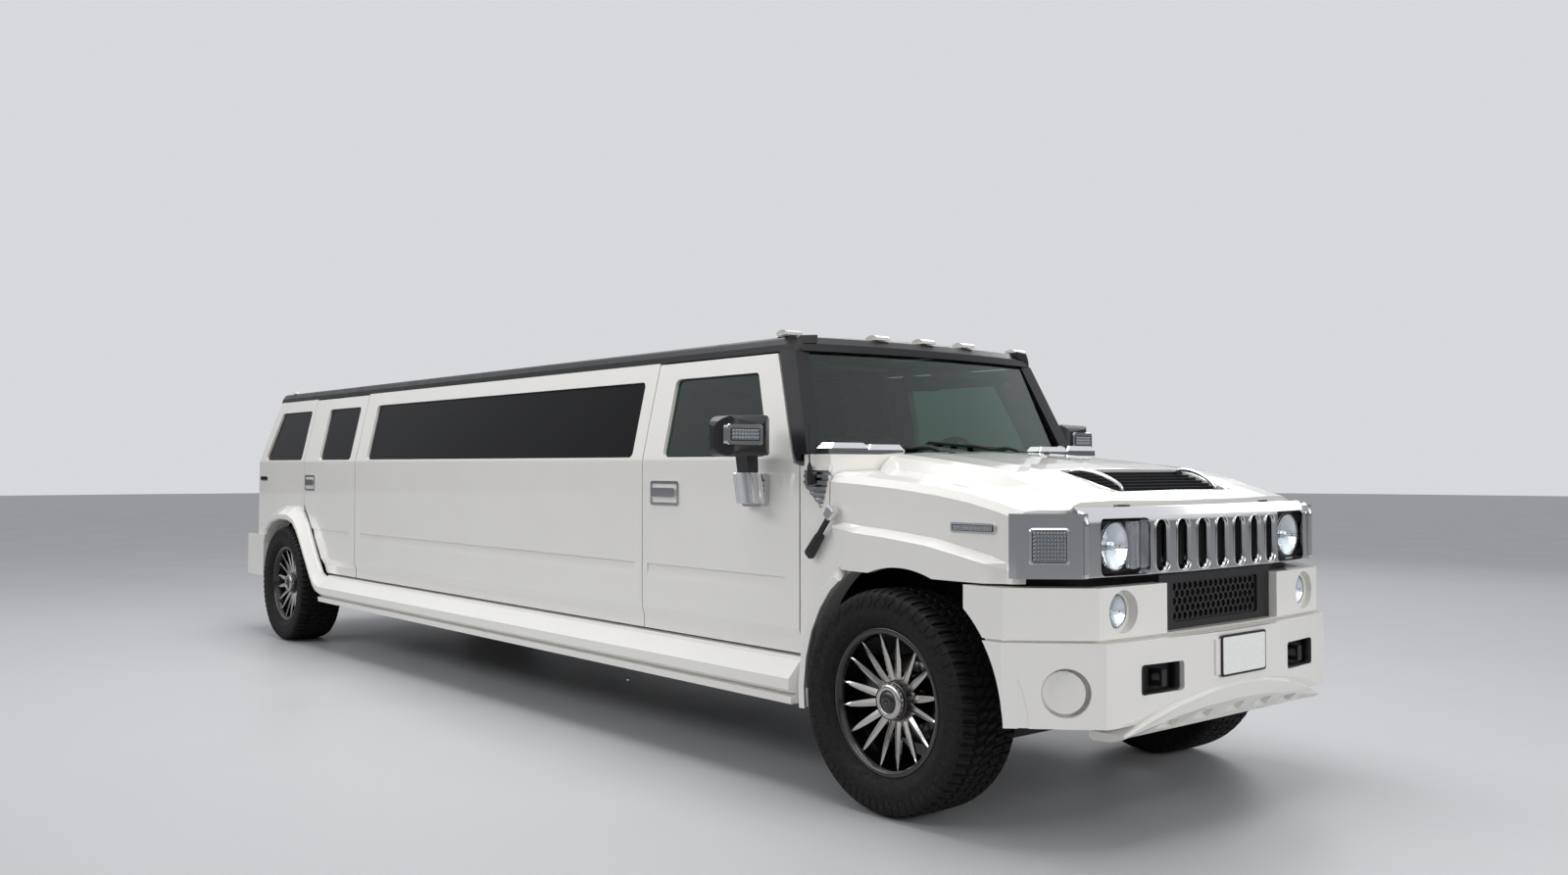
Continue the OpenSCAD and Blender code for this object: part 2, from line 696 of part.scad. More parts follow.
// Corner piece on the slanted corner of the fascia
module grille_cap() {
    x1 = grille_x - 58;
    along_z(968, 1200) polygon([[x1, 780], [x1 - 4, 812], [fx(640), 980], [fx(606), 982], [fx(606), 940],
        [x1 - 45, 772]]);
}
module front_lamps() {
    color([0.8, 0.85, 0.9]) {
        both() {
            // Head lamps
            bar_x(612, 1078, lamp_r, lamp_x, lamp_x + 34);
            translate([lamp_x + 34, 612, 1078]) rotate([0, 90, 0]) rotate_extrude() intersection() {
                translate([0, -lamp_r * 2.2]) circle(r = lamp_r * 2.4, $fn = 96);
                square([lamp_r - 4, lamp_r]);
            }
            // Turn lamps beside them
            along_x(lamp_x, lamp_x + 36) outline([[bezel_y0 + 10, bezel_z0 + 14, 14],
                [612 - lamp_r - 8, bezel_z0 + 14, 14], [612 - lamp_r - 8, bezel_z1 - 14, 14],
                [bezel_y0 + 10, bezel_z1 - 14, 14]]);
            // Fog lamps
            bar_x(640, 845, fog_r, bumper_x - 152, bumper_x - 122);
            // Corner lenses
            translate([fx(719), 896, 0]) rotate([0, 0, 43.24]) translate([fit, -65, 1024]) cube([14, 130, 118]);
        }
    }
}
module radiator_support() {
    color([0.15, 0.15, 0.15]) {
        box(fx(600), fx(652), -640, 640, rail_z1, 1120);
        // Buckets behind the head lamps
        both() box(fx(652), lamp_x, bezel_y0 + 4, bezel_y1 - 4, bezel_z0 + 4, bezel_z1 - 14);
        both() hood_bracket();
    }
}
module hood_bracket() {
    for (y = [462, 526]) {
        box(fx(600), hood_axis_x + 8, y, y + 12, 1060, hood_axis_z - 8);
        bar_y(hood_axis_x, hood_axis_z, 11, y, y + 12);
    }
    bar_y(hood_axis_x, hood_axis_z, 8, 462, 538);
}

skid_z = 376;
function skid_top(y) = 560 - 150 * pow(abs(y) / 690, 2);
function skid_share(y) = (skid_top(y) - skid_z) / (skid_top(0) - skid_z);
module front_bumper() {
    color("white") difference() {
        union() {
            // Upper part with the lamp pods
            along_z(740, 936) difference() {
                fascia_plan(bumper_x - 68, 770, 36, fx(606), 1018, fx(420));
                fascia_plan(bumper_x - 128, 740, 36, fx(560), 938, fx(300));
            }
            // Lower part
            intersection() {
                along_z(440, 748) difference() {
                    fascia_plan(bumper_x - 4, 770, 70, fx(606), 1026, fx(420));
                    fascia_plan(bumper_x - 110, 720, 40, fx(560), 938, fx(300));
                }
                along_y(-1200, 1200) polygon([[fx(200), 440], [bumper_x - 66, 440], [bumper_x + 5, 560],
                    [bumper_x + 5, 760], [fx(200), 760]]);
            }
            // Plate pad
            box(bumper_x - 40, bumper_x, -190, 190, 582, 716);
            // Beam on the frame rails
            box(fx(760), bumper_x - 60, -560, 560, 490, 740);
            // Skid lip, a bulge that fades out towards the corners
            loft([for (y = [-690, -560, -380, -190, 0, 190, 380, 560, 690]) let (
                x = bumper_x - 8 - 70 * pow(y / 770, 2),
                k = skid_share(y),
                z = skid_top(y))
                [[x - 4, y, z], [x + 10, y, z - 26 * k], [x - 4, y, z - 84 * k], [x - 58, y, skid_z + 22 * k],
                    [x - 130, y, skid_z], [x - 146, y, skid_z + 12], [x - 146, y, z]]]);
        }
        front_opening(-1200, 1200, front_arch_r);
        front_opening(-985, 985, front_arch_r + 65);
        // Parting groove between upper and lower part
        along_z(742, 750) difference() {
            fascia_plan(bumper_x + 50, 800, 36, fx(640), 1100, fx(300));
            fascia_plan(bumper_x - 82, 762, 36, fx(600), 1006, fx(300));
        }
        // Middle bay for the insert
        box(bumper_x - 136, bumper_x + 50, -392, 392, 752, 1000);
        both() {
            // Lamp pods
            bar_x(640, 845, fog_r + 16, bumper_x - 124, bumper_x);
            bar_x(640, 845, fog_r + fit, bumper_x - 200, bumper_x);
            // Tow hook openings
            along_x(bumper_x - 90, bumper_x + 50) outline([[370, 546, 14], [600, 546, 14], [600, 654, 14], [370, 654, 14]]);
            // Round recess at the corner
            translate([fx(770), 868, 566]) rotate([0, 0, 46]) rotate([0, 90, 0]) difference() {
                translate([0, 0, -44]) cylinder(r = 88, h = 140);
                translate([0, 0, -45]) rotate([-14, 0, 0]) cylinder(r = 76, h = 24);
            }
        }
        // Dimples of the skid lip
        for (i = [-2:2]) translate([bumper_x - 39 - 5 * i * i, i * 210, skid_z + 62 * skid_share(i * 210)])
            rotate([0, 35, 0]) cube([40, 100, 46], center = true);
    }
}
module bumper_insert() {
    x = bumper_x - 112;
    color([0.1, 0.1, 0.1]) {
        difference() {
            box(x - 24, x, -391.7, 391.7, 752, 962);
            along_x(x - 10, x + 10) outline([[-300, 778, 14], [300, 778, 14], [300, 930, 14], [-300, 930, 14]]);
            for (r = [0:4], c = [0:15]) translate([x - 10, -279 + c * 36 + (r % 2) * 18, 799 + r * 28])
                rotate([0, 90, 0]) rotate(30) cylinder(r = 15, h = 20, center = true, $fn = 6);
        }
        // Tow hooks
        both() difference() {
            box(bumper_x - 90, bumper_x - 30, 470, 500, 570, 630);
            bar_y(bumper_x - 56, 600, 18, 460, 510);
        }
    }
}
module rear_bumper() {
    color("white") difference() {
        mirror([1, 0, 0]) translate([0, 0, 0]) along_z(474, rear_bumper_z) difference() {
            fascia_plan(-rx(-rear_overhang), 900, 24, -rx(-860), skirt_y, -rx(-400));
            translate([-rx(-897), -skin_y]) mirror([1, 0]) square([700, 2 * skin_y]);
        }
        both() rear_opening();
        box(rx(-1000), rx(-700), -260, 260, 400, 560);
    }
}
module hitch_receiver() {
    x0 = rx(-rear_overhang + 20);
    color([0.12, 0.12, 0.12]) {
        difference() {
            box(x0, rx(-600), -32, 32, 416, 480);
            box(x0 - 1, rx(-640), -25.5, 25.5, 422.5, 473.5);
            bar_y(x0 + 60, 448, 8, -40, 40);
        }
        box(rx(-680), rx(-600), -rail_y1, rail_y1, 480, 500);
    }
}
module tail_lamps() {
    color("red") both() along_y(800, 900) polygon([[rear_x(1010) - 14, 1010], [rear_x(1290) - 14, 1290],
        [rear_x(1290) - fit, 1290], [rear_x(1010) - fit, 1010]]);
}

// Tailgate hinges on two pivots at its top
module tailgate() {
    half = gate_y;
    color("white") difference() {
        union() {
            intersection() {
                along_y(-half, half) outline(concat(rear_line(0), flip(rear_line(62))));
                box(rx(-1000), rx(-500), -half, half, 818, cant_z - 8);
            }
            along_y(-half, half) polygon([[rear_x(850) - 8, 830], [rear_x(850) + 4, 830], [rear_x(850) + 4, 842]]);
        }
        gate_window(0);
        both() bar_y(gate_axis_x, gate_axis_z, 10 + fit, gate_y - 36, post_y);
    }
}
module gate_window(e) {
    along_x(rx(-1000), rx(-500)) outline([[-640 + e, 1440 + e, 40], [640 - e, 1440 + e, 40],
        [610 - e, 1800 - e, 40], [-610 + e, 1800 - e, 40]]);
}
module tailgate_glass() {
    color("black") intersection() {
        along_y(-700, 700) outline(concat(rear_line(20), flip(rear_line(20 + glass_t))));
        gate_window(fit);
    }
}

// Structure under the body
module chassis_frame() {
    color([0.12, 0.12, 0.12]) {
        both() box(rx(-880), fx(760), rail_y0, rail_y1, rail_z0, rail_z1);
        for (x = [rx(-640), rx(300), rx(1500), fx(-3400), fx(-1900), fx(-700), fx(420)])
            box(x - 40, x + 40, -rail_y0, rail_y0, rail_z0 + 6, rail_z1 - 6);
    }
}
module floor_pan() {
    color([0.2, 0.2, 0.2]) {
        difference() {
            box(rx(-820), fx(-560), -inner_y + 10, inner_y - 10, rail_z1, floor_z);
            both() box(rx(-575), rx(575), 680, 900, 400, 700);
        }
        // Rear wall behind the bumper
        box(rx(-850), rx(-820), -post_y, post_y, rail_z1, rear_bumper_z - 2);
    }
}
module firewall() {
    color([0.15, 0.15, 0.15]) {
        box(fx(-586), fx(-560), -inner_y + 16, inner_y - 16, floor_z, 1370);
        // Inner walls and shelves over the front wheels
        both() {
            difference() {
                box(fx(-560), fx(600), 478, 492, rail_z1, 980);
                box(fx(-190), fx(190), 470, 500, 590, 690);
            }
            box(fx(-560), fx(600), 492, inner_y - 5, 966, 980);
        }
        both() box(fx(-560), fx(600), rail_y1, 478, rail_z1 - 12, rail_z1);
    }
}
module wheel_tubs() {
    color([0.15, 0.15, 0.15]) both() difference() {
        box(rx(-575), rx(575), 680, inner_y, rail_z1, 985);
        box(rx(-560), rx(560), 695, inner_y + 10, 500, 970);
    }
}
module engine_block() {
    color([0.3, 0.3, 0.3]) {
        box(fx(-400), fx(340), -290, 290, 600, 1120);
        box(fx(-360), fx(300), -360, 360, 900, 1080);
        box(fx(-300), fx(240), -rail_y0, rail_y0, 560, 600);
        bar_x(0, 760, 170, fx(340), fx(420));
    }
}
module driveline() {
    color([0.25, 0.25, 0.25]) {
        // Gearbox and shaft
        box(fx(-1150), fx(-400), -170, 170, 390, 506);
        box(fx(-560), fx(-400), -170, 170, 506, 700);
        bar_x(0, wheel_z, 42, rx(128), fx(-1150));
        // Exhaust
        bar_x(-260, 452, 34, rx(900), fx(-500));
        box(rx(1150), rx(1750), -340, -180, 380, 506);
        // Tank
        box(rx(-560), rx(-160), -rail_y0, rail_y0, 330, 506);
    }
}
module front_suspension() {
    color([0.15, 0.15, 0.15]) {
        box(fx(-170), fx(170), -rail_y1, rail_y1, 256, 300);
        both() {
            box(fx(-170), fx(170), rail_y0, rail_y1, 300, rail_z0);
            box(fx(-150), fx(150), rail_y0, rail_y1, rail_z1, 636);
            arm(256, 286);
            arm(606, 636);
        }
    }
}
module arm(z0, z1) {
    difference() {
        along_z(z0, z1) outline([[fx(-150), rail_y1 - 10, 0], [fx(150), rail_y1 - 10, 0],
            [fx(42), kingpin_y + 42, 40], [fx(-42), kingpin_y + 42, 40]]);
        translate([fx(0), kingpin_y, z0 - 1]) cylinder(r = 18 + fit, h = z1 - z0 + 2);
    }
}
module rear_axle() {
    color([0.15, 0.15, 0.15]) {
        bar_y(rx(0), wheel_z, 50, -kingpin_y, kingpin_y);
        bar_x(0, wheel_z, 128, rx(-110), rx(128));
        both() {
            bar_y(rx(0), wheel_z, 90, kingpin_y - 10, kingpin_y + 44);
            bar_y(rx(0), wheel_z, spindle_r, kingpin_y, wheel_y + 54);
            box(rx(-60), rx(60), rail_y0 + 5, rail_y1 - 5, wheel_z, rail_z0);
        }
    }
}
module knuckle() {
    color([0.2, 0.2, 0.2]) {
        translate([fx(0), kingpin_y, 296]) cylinder(r = 44, h = 300);
        translate([fx(0), kingpin_y, 250]) cylinder(r = 18, h = 392);
        bar_y(fx(0), wheel_z, 90, kingpin_y, kingpin_y + 46);
        bar_y(fx(0), wheel_z, spindle_r, kingpin_y, wheel_y + 54);
    }
}
module left_knuckle() {
    knuckle();
}
module right_knuckle() {
    mirror([0, 1, 0]) knuckle();
}

// Wheels are drawn about Z with the outer face up
module tyre() {
    a = rim_d / 2;
    b = tyre_d / 2;
    w = tyre_w / 2;
    color([0.08, 0.08, 0.08]) rotate_extrude($fn = 72) outline([
        [a, -w + 40, 0], [a + 20, -w + 22, 10], [a + 66, -w, 40], [b - 40, -w + 2, 20], [b, -w + 34, 16],
        [b, w - 34, 16], [b - 40, w - 2, 20], [a + 66, w, 40], [a + 20, w - 22, 10], [a, w - 40, 0]]);
}
module rim() {
    a = rim_d / 2 - fit;
    w = tyre_w / 2 - 40;
    color("silver") {
        difference() {
            union() {
                rotate_extrude($fn = 72) polygon([[a - 26, -w - 10], [a + 8, -w - 10], [a, -w], [a, w], [a + 8, w + 10],
                    [a - 18, w + 10], [a - 14, -w + 20]]);
                translate([0, 0, -54]) cylinder(r = 172, h = 26);
                translate([0, 0, -30]) cylinder(r = 78, h = 112);
                translate([0, 0, 80]) cylinder(r = 70, h = 34);
                translate([0, 0, 110]) cylinder(r = 42, h = 10);
                for (i = [0:spoke_pairs - 1], s = [-1, 1]) rotate(i * 360 / spoke_pairs) spoke(s, a - 6);
                for (i = [0:7]) rotate(i * 45 + 22.5) translate([98, 0, 0]) cylinder(r = 10, h = 62);
            }
            translate([0, 0, -60]) cylinder(r = spindle_r + 0.05, h = 120);
        }
    }
}
// Pointed spoke with a ridge, two of them make a pair
module spoke(s, r1) {
    r0 = 52;
    base = 21;
    tip = 4.5;
    a = 0.195 * s;
    q = base * 0.45 * s;
    p = [[r0, q - base, 14], [r0, q + base, 14], [r0, q, 68],
        [r1, a * r1 - tip, 90], [r1, a * r1 + tip, 90], [r1, a * r1, 116]];
    polyhedron(points = p, faces = [[0, 1, 2], [3, 5, 4], [0, 4, 1], [0, 3, 4], [1, 5, 2], [1, 4, 5],
        [2, 3, 0], [2, 5, 3]]);
}
module at_wheel(x, side) {
    translate([x, side * wheel_y, wheel_z]) rotate([-90 * side, 0, 0]) children();
}
module front_left_tyre() { at_wheel(fx(0), 1) tyre(); }
module front_right_tyre() { at_wheel(fx(0), -1) tyre(); }
module rear_left_tyre() { at_wheel(rx(0), 1) tyre(); }
module rear_right_tyre() { at_wheel(rx(0), -1) tyre(); }
module front_left_rim() { at_wheel(fx(0), 1) rim(); }
module front_right_rim() { at_wheel(fx(0), -1) rim(); }
module rear_left_rim() { at_wheel(rx(0), 1) rim(); }
module rear_right_rim() { at_wheel(rx(0), -1) rim(); }

module front_left_door() { color("white") front_door(); }
module front_right_door() { color("white") mirror([0, 1, 0]) front_door(); }
module rear_left_door() { color("white") rear_door(); }
module rear_right_door() { color("white") mirror([0, 1, 0]) rear_door(); }
module front_left_glass() { color([0.5, 0.7, 0.6, 0.5]) front_glass(); }
module front_right_glass() { color([0.5, 0.7, 0.6, 0.5]) mirror([0, 1, 0]) front_glass(); }
module rear_left_glass() { color("black") rear_glass(); }
module rear_right_glass() { color("black") mirror([0, 1, 0]) rear_glass(); }

// Door mirror with its arm
module door_mirror() {
    color([0.1, 0.1, 0.1]) {
        // Ribbed foot on the door
        difference() {
            along_y(skin_y, skin_y + 40) outline([[fx(-960), 1188, 24], [fx(-806), 1188, 24], [fx(-796), 1336, 24],
                [fx(-940), 1336, 24]]);
            for (i = [0:4]) box(fx(-1000), fx(-760), skin_y + 32, skin_y + 60, 1212 + i * 22, 1222 + i * 22);
        }
        // Arm rises from the foot and turns into the head
        along_x(fx(-880), fx(-800)) outline([[skin_y + 36, 1204, 16], [skin_y + 104, 1222, 40], [skin_y + 136, 1440, 30],
            [skin_y + 70, 1470, 10], [skin_y + 66, 1310, 40], [skin_y + 36, 1300, 10]]);
        // Head, rounded from above and from the front
        intersection() {
            along_z(1400, 1610) outline([[fx(-806), skin_y + 64, 10], [fx(-806), skin_y + 336, 10],
                [fx(-760), skin_y + 342, 24], [fx(-690), skin_y + 292, 60], [fx(-676), skin_y + 130, 60],
                [fx(-724), skin_y + 64, 24]]);
            along_x(fx(-820), fx(-660)) outline([[skin_y + 64, 1416, 30], [skin_y + 342, 1410, 46],
                [skin_y + 342, 1584, 60], [skin_y + 64, 1594, 46]]);
            along_y(skin_y, skin_y + 400) outline([[fx(-808), 1408, 12], [fx(-690), 1408, 46], [fx(-672), 1560, 60],
                [fx(-720), 1596, 40], [fx(-808), 1592, 12]]);
        }
    }
}
module left_mirror() { door_mirror(); }
module right_mirror() { mirror([0, 1, 0]) door_mirror(); }

// Inside
module seats() {
    color([0.3, 0.28, 0.26]) {
        both() bucket(fx(-1640), 430);
        // Long bench on the left and a bench at the rear
        box(fx(-5000), fx(-2100), 330, inner_y - 20, floor_z, 980);
        box(fx(-5000), fx(-2100), inner_y - 120, inner_y - 20, 980, 1330);
        box(rx(600), rx(1050), -660, 660, floor_z, 990);
        box(rx(580), rx(690), -660, 660, 990, 1480);
    }
}
module bucket(x, y) {
    box(x, x + 520, y - 250, y + 250, floor_z, 960);
    along_y(y - 250, y + 250) outline([[x - 20, 960, 0], [x + 110, 960, 0], [x + 10, 1560, 40], [x - 100, 1560, 40]]);
    along_y(y - 130, y + 130) outline([[x - 70, 1545, 0], [x - 10, 1545, 0], [x - 16, 1740, 30], [x - 90, 1740, 30]]);
}
module lounge_bar() {
    color([0.35, 0.2, 0.12]) difference() {
        box(fx(-4700), fx(-2300), -inner_y + 20, -520, floor_z, 1290);
        for (i = [0:3]) box(fx(-4620 + i * 590), fx(-4120 + i * 590), -700, -500, 700, 1180);
    }
}
module dash_top() {
    along_y(-inner_y + 20, inner_y - 20) outline([[fx(-586), 960, 0], [fx(-586), 1366, 0], [fx(-700), 1366, 30],
        [fx(-860), 1300, 50], [fx(-880), 1100, 50], [fx(-760), 960, 30]]);
}
module dashboard() {
    color([0.15, 0.15, 0.15]) {
        dash_top();
        box(fx(-1050), fx(-760), -140, 140, floor_z, 1000);
    }
}
module steering_wheel() {
    color([0.1, 0.1, 0.1]) difference() {
        translate([fx(-1010), 430, 1350]) rotate([0, -62, 0]) {
            rotate_extrude($fn = 48) translate([180, 0]) circle(r = 14, $fn = 20);
            translate([0, 0, -20]) cylinder(r = 60, h = 30);
            for (a = [0, 90, 180]) rotate(a) box(40, 178, -16, 16, -10, 4);
            translate([0, 0, -200]) cylinder(r = 30, h = 190);
        }
        dash_top();
    }
}
module partition() {
    x = fx(-front_door_start - front_door_len - 91);
    color([0.3, 0.28, 0.26]) difference() {
        along_x(x - 15, x + 15) polygon([[inner_y, floor_z], [inner_y, belt_z - 20], [skin_at(1850) - 50, 1850],
            [-skin_at(1850) + 50, 1850], [-inner_y, belt_z - 20], [-inner_y, floor_z]]);
        along_x(x - 60, x + 60) outline([[-560, 1360, 40], [560, 1360, 40], [560, 1760, 40], [-560, 1760, 40]]);
    }
}

chassis_frame();
floor_pan();
firewall();
wheel_tubs();
engine_block();
driveline();
front_suspension();
rear_axle();
stretch_panels();
quarter_panels();
cowl_panels();
cowl_top();
cowl_vents();
roof_panel();
roof_frame();
windscreen();
fixed_side_glass();
radiator_support();
grille();
front_lamps();
front_bumper();
bumper_insert();
rear_bumper();
hitch_receiver();
side_skirts();
roof_marker_lamps();
tail_lamps();
seats();
lounge_bar();
dashboard();
steering_wheel();
partition();
hood();
hood_vents();
hood_hardware();
tailgate();
tailgate_glass();
front_left_door();
front_right_door();
rear_left_door();
rear_right_door();
front_left_glass();
front_right_glass();
rear_left_glass();
rear_right_glass();
left_mirror();
right_mirror();
left_knuckle();
right_knuckle();
front_left_tyre();
front_right_tyre();
rear_left_tyre();
rear_right_tyre();
front_left_rim();
front_right_rim();
rear_left_rim();
rear_right_rim();
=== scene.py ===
"""Looks of a white stretched sport utility limousine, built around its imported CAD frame."""
import math

import bpy
import numpy as np
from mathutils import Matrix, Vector


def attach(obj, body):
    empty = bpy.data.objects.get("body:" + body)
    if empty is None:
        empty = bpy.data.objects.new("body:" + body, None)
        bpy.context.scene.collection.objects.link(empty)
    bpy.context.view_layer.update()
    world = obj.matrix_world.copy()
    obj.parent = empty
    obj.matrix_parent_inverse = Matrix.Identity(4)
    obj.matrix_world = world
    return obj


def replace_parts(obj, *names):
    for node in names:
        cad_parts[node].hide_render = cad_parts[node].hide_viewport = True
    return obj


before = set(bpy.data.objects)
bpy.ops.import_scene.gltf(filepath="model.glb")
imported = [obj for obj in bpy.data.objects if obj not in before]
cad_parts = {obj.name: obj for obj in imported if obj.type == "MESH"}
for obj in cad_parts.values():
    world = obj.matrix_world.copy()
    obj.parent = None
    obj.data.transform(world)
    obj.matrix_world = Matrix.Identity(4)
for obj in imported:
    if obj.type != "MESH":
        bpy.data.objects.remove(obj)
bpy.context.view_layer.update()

# Places and directions shared by many pieces, in metres
FRONT_AXLE, REAR_AXLE = 3.3575, -3.3425
WHEEL_Y, WHEEL_Z = 0.8815, 0.4445
SKIN_Y = 0.930
COWL_Z, FLOOR_Z = 1.420, 0.600
# Face of the front bumper, ahead of the front axle
BUMPER_FACE = 0.945
FORWARD, ACROSS, UP, DOWN = (1, 0, 0), (0, 1, 0), (0, 0, 1), (0, 0, -1)
# Axis for small turned pieces, which can't be quite upright
NEAR_UP = (0.02, 0, 1)
# Distance outside the body from which lines are cast at it
FAR = 3.0
SIDES = (("left", 1), ("right", -1))
MAIN, HOOD = "main_body", "hood_lid"
# Radius at which a turned profile closes on its axis
POLE = 0.0005


def fx(d):
    """Place measured forward from the front axle."""
    return FRONT_AXLE + d


def rx(d):
    """Place measured forward from the rear axle."""
    return REAR_AXLE + d


# Materials
def srgb(code):
    """Linear colour of a hex code."""
    c = np.array([int(code[i:i + 2], 16) for i in (0, 2, 4)]) / 255
    lin = np.where(c <= 0.04045, c / 12.92, ((c + 0.055) / 1.055) ** 2.4)
    return (float(lin[0]), float(lin[1]), float(lin[2]), 1.0)


def add(mat, kind, inputs=None, **settings):
    """Adds one shader node, with settings, and with inputs that are set or linked."""
    node = mat.node_tree.nodes.new("ShaderNode" + kind)
    for key, value in settings.items():
        setattr(node, key, value)
    for key, value in (inputs or {}).items():
        if isinstance(value, bpy.types.NodeSocket):
            mat.node_tree.links.new(value, node.inputs[key])
        else:
            node.inputs[key].default_value = value
    return node


def shader(mat, code, values):
    """Principled shader of that colour, with values whose names have underlines for spaces."""
    inputs = {"Base Color": srgb(code)}
    inputs.update({key.replace("_", " "): value for key, value in values.items()})
    return add(mat, "BsdfPrincipled", inputs)


def feed(mat, out, socket):
    """Leads a value into the shader that the material starts with."""
    mat.node_tree.links.new(out, mat.node_tree.nodes["Principled BSDF"].inputs[socket])


def place(mat):
    """Object coordinates, in metres."""
    return add(mat, "TexCoord").outputs["Object"]


def noise(mat, size_mm, detail=3.0):
    """Noise whose lumps are about that many millimetres wide."""
    return add(mat, "TexNoise", {"Vector": place(mat), "Scale": 1000 / size_mm, "Detail": detail}).outputs[0]


def vary(mat, low, high, size_mm):
    """Lets the roughness wander between two limits."""
    limits = add(mat, "MapRange", {0: noise(mat, size_mm), 1: 0.3, 2: 0.7, 3: low, 4: high})
    feed(mat, limits.outputs[0], "Roughness")


def tint(mat, code_a, code_b, share):
    """Lets the colour wander between two, by a socket that holds the share of the second."""
    mix = add(mat, "Mix", {0: share, 6: srgb(code_a), 7: srgb(code_b)}, data_type="RGBA")
    feed(mat, mix.outputs[2], "Base Color")


def waves(mat, size_mm, axis, **inputs):
    """Bright and dark bands in turn along one axis, each about that many millimetres wide."""
    inputs.update({"Vector": place(mat), "Scale": 1000 / size_mm / 6.283})
    return add(mat, "TexWave", inputs, bands_direction=axis).outputs[1]


def cells(mat, size_mm, random=1.0, **settings):
    """Distance from the middle of cells about that many millimetres wide."""
    inputs = {"Vector": place(mat), "Scale": 1000 / size_mm, "Randomness": random}
    return add(mat, "TexVoronoi", inputs, **settings).outputs[0]


def relief(mat, height, depth_mm):
    """Bump from a height socket, with the real depth of the relief."""
    bump = add(mat, "Bump", {"Height": height, "Distance": depth_mm / 1000, "Strength": 1.0})
    feed(mat, bump.outputs[0], "Normal")


def surface(name, code, rough, wander=None, tints=None, grain=None, **values):
    """New material with one principled shader of that colour and roughness. Where they are given, the
    roughness wanders between two limits and the colour between two codes, over lumps of a size in
    millimetres, and noise of a size and a detail stands up by a depth."""
    mat = bpy.data.materials.new(name)
    mat.use_nodes = True
    mat.node_tree.nodes.clear()
    bsdf = shader(mat, code, {"Roughness": rough, **values})
    add(mat, "OutputMaterial", {"Surface": bsdf.outputs[0]})
    if tints:
        tint(mat, *tints[:2], noise(mat, tints[2]))
    if wander:
        vary(mat, *wander)
    if grain:
        relief(mat, noise(mat, *grain[:2]), grain[2])
    return mat


def calc(mat, operation, *values):
    """One arithmetic step."""
    node = add(mat, "Math", dict(enumerate(values)), operation=operation)
    return node.outputs[0]


def inside(mat, low, high):
    """One where the place lies in a box, with both sides of the vehicle taken as the left one."""
    x, y, z = add(mat, "SeparateXYZ", {0: place(mat)}).outputs
    parts = []
    for value, a, b in zip((x, calc(mat, "ABSOLUTE", y), z), low, high):
        parts.append(calc(mat, "COMPARE", value, (a + b) / 2, (b - a) / 2))
    return calc(mat, "MULTIPLY", calc(mat, "MULTIPLY", parts[0], parts[1]), parts[2])


def blend_to(mat, mask, code, **values):
    """Shows a second principled shader where the mask is one."""
    tree = mat.node_tree
    out = [n for n in tree.nodes if n.type == "OUTPUT_MATERIAL"][0]
    first = out.inputs[0].links[0].from_socket
    second = shader(mat, code, values)
    mix = add(mat, "MixShader", {0: mask, 1: first, 2: second.outputs[0]})
    tree.links.new(mix.outputs[0], out.inputs[0])


def paint(name):
    """Pearl white paint: warm, with a deep clear coat and a faint orange peel."""
    return surface(name, "F0EDE7", 0.32, (0.28, 0.36, 160), ("F1EFEA", "ECE9E3", 420), (5, 1.0, 0.012),
                   Coat_Weight=1.0, Coat_Roughness=0.03)


MAT = {"paint": paint("pearl_paint")}
# Door paint with plated handles
door = MAT["door"] = paint("pearl_paint_and_plated_handles")
handles = calc(door, "MAXIMUM",
               inside(door, (fx(-1.76), 0.9312, 1.17), (fx(-1.46), 1.0, 1.30)),
               inside(door, (rx(0.17), 0.9312, 1.17), (rx(0.43), 1.0, 1.30)))
blend_to(door, handles, "D4D5D6", Metallic=1.0, Roughness=0.12)
# Satin charcoal paint keeps a soft sheen along the roof edge
MAT["roof"] = surface("charcoal_satin_paint", "0C0D0F", 0.36, (0.33, 0.43, 120), None, (3, 2.0, 0.02),
                      Specular_IOR_Level=0.35)
# Bright plating mirrors the soft boxes
MAT["chrome"] = surface("chrome_plating", "D6D7D8", 0.07, (0.05, 0.11, 60), Metallic=1.0)
# Grille plating is brushed across, so highlights stretch sideways, and its corner pieces are polished
mat = MAT["brushed"] = surface("brushed_plating", "CFCFD0", 0.14, Metallic=1.0)
lines = add(mat, "Mapping", {"Vector": place(mat), "Scale": (900.0, 12.0, 900.0)}).outputs[0]
relief(mat, add(mat, "TexNoise", {"Vector": lines, "Scale": 1.0, "Detail": 2.0}).outputs[0], 0.02)
corners = inside(mat, (fx(0.5), 0.795, 0.9), (fx(1.0), 1.1, 1.3))
blend_to(mat, corners, "C9CACC", Metallic=1.0, Roughness=0.06)
# Latch strap of rubber below a plated grip, beside plated rails
mat = MAT["latch"] = surface("plated_rails_and_rubber_strap", "D6D7D8", 0.08, (0.06, 0.12, 60),
                             Metallic=1.0)
strap = inside(mat, (fx(-0.60), 0.90, 0.88), (fx(-0.30), 0.9705, 1.30))
blend_to(mat, strap, "161617", Roughness=0.6)
# Mirror: black housing over a grooved plated foot
mat = MAT["mirror"] = surface("black_housing_and_plated_foot", "141416", 0.34, (0.28, 0.40, 40), None,
                              (1.4, 2.0, 0.03))
foot = inside(mat, (fx(-1.02), 0.92, 1.15), (fx(-0.74), 1.10, 1.338))
blend_to(mat, foot, "CFD0D1", Metallic=1.0, Roughness=0.14)
# Dull rubber of straps and wiper blades; the same black also lines the tow hook openings as painted shade
MAT["seal"] = surface("black_rubber", "121213", 0.7, (0.6, 0.8, 15))
# Louvre blades: satin black, bright along their edges under a soft box
MAT["louvre"] = surface("satin_black_louvre", "26282B", 0.32, (0.27, 0.38, 25))
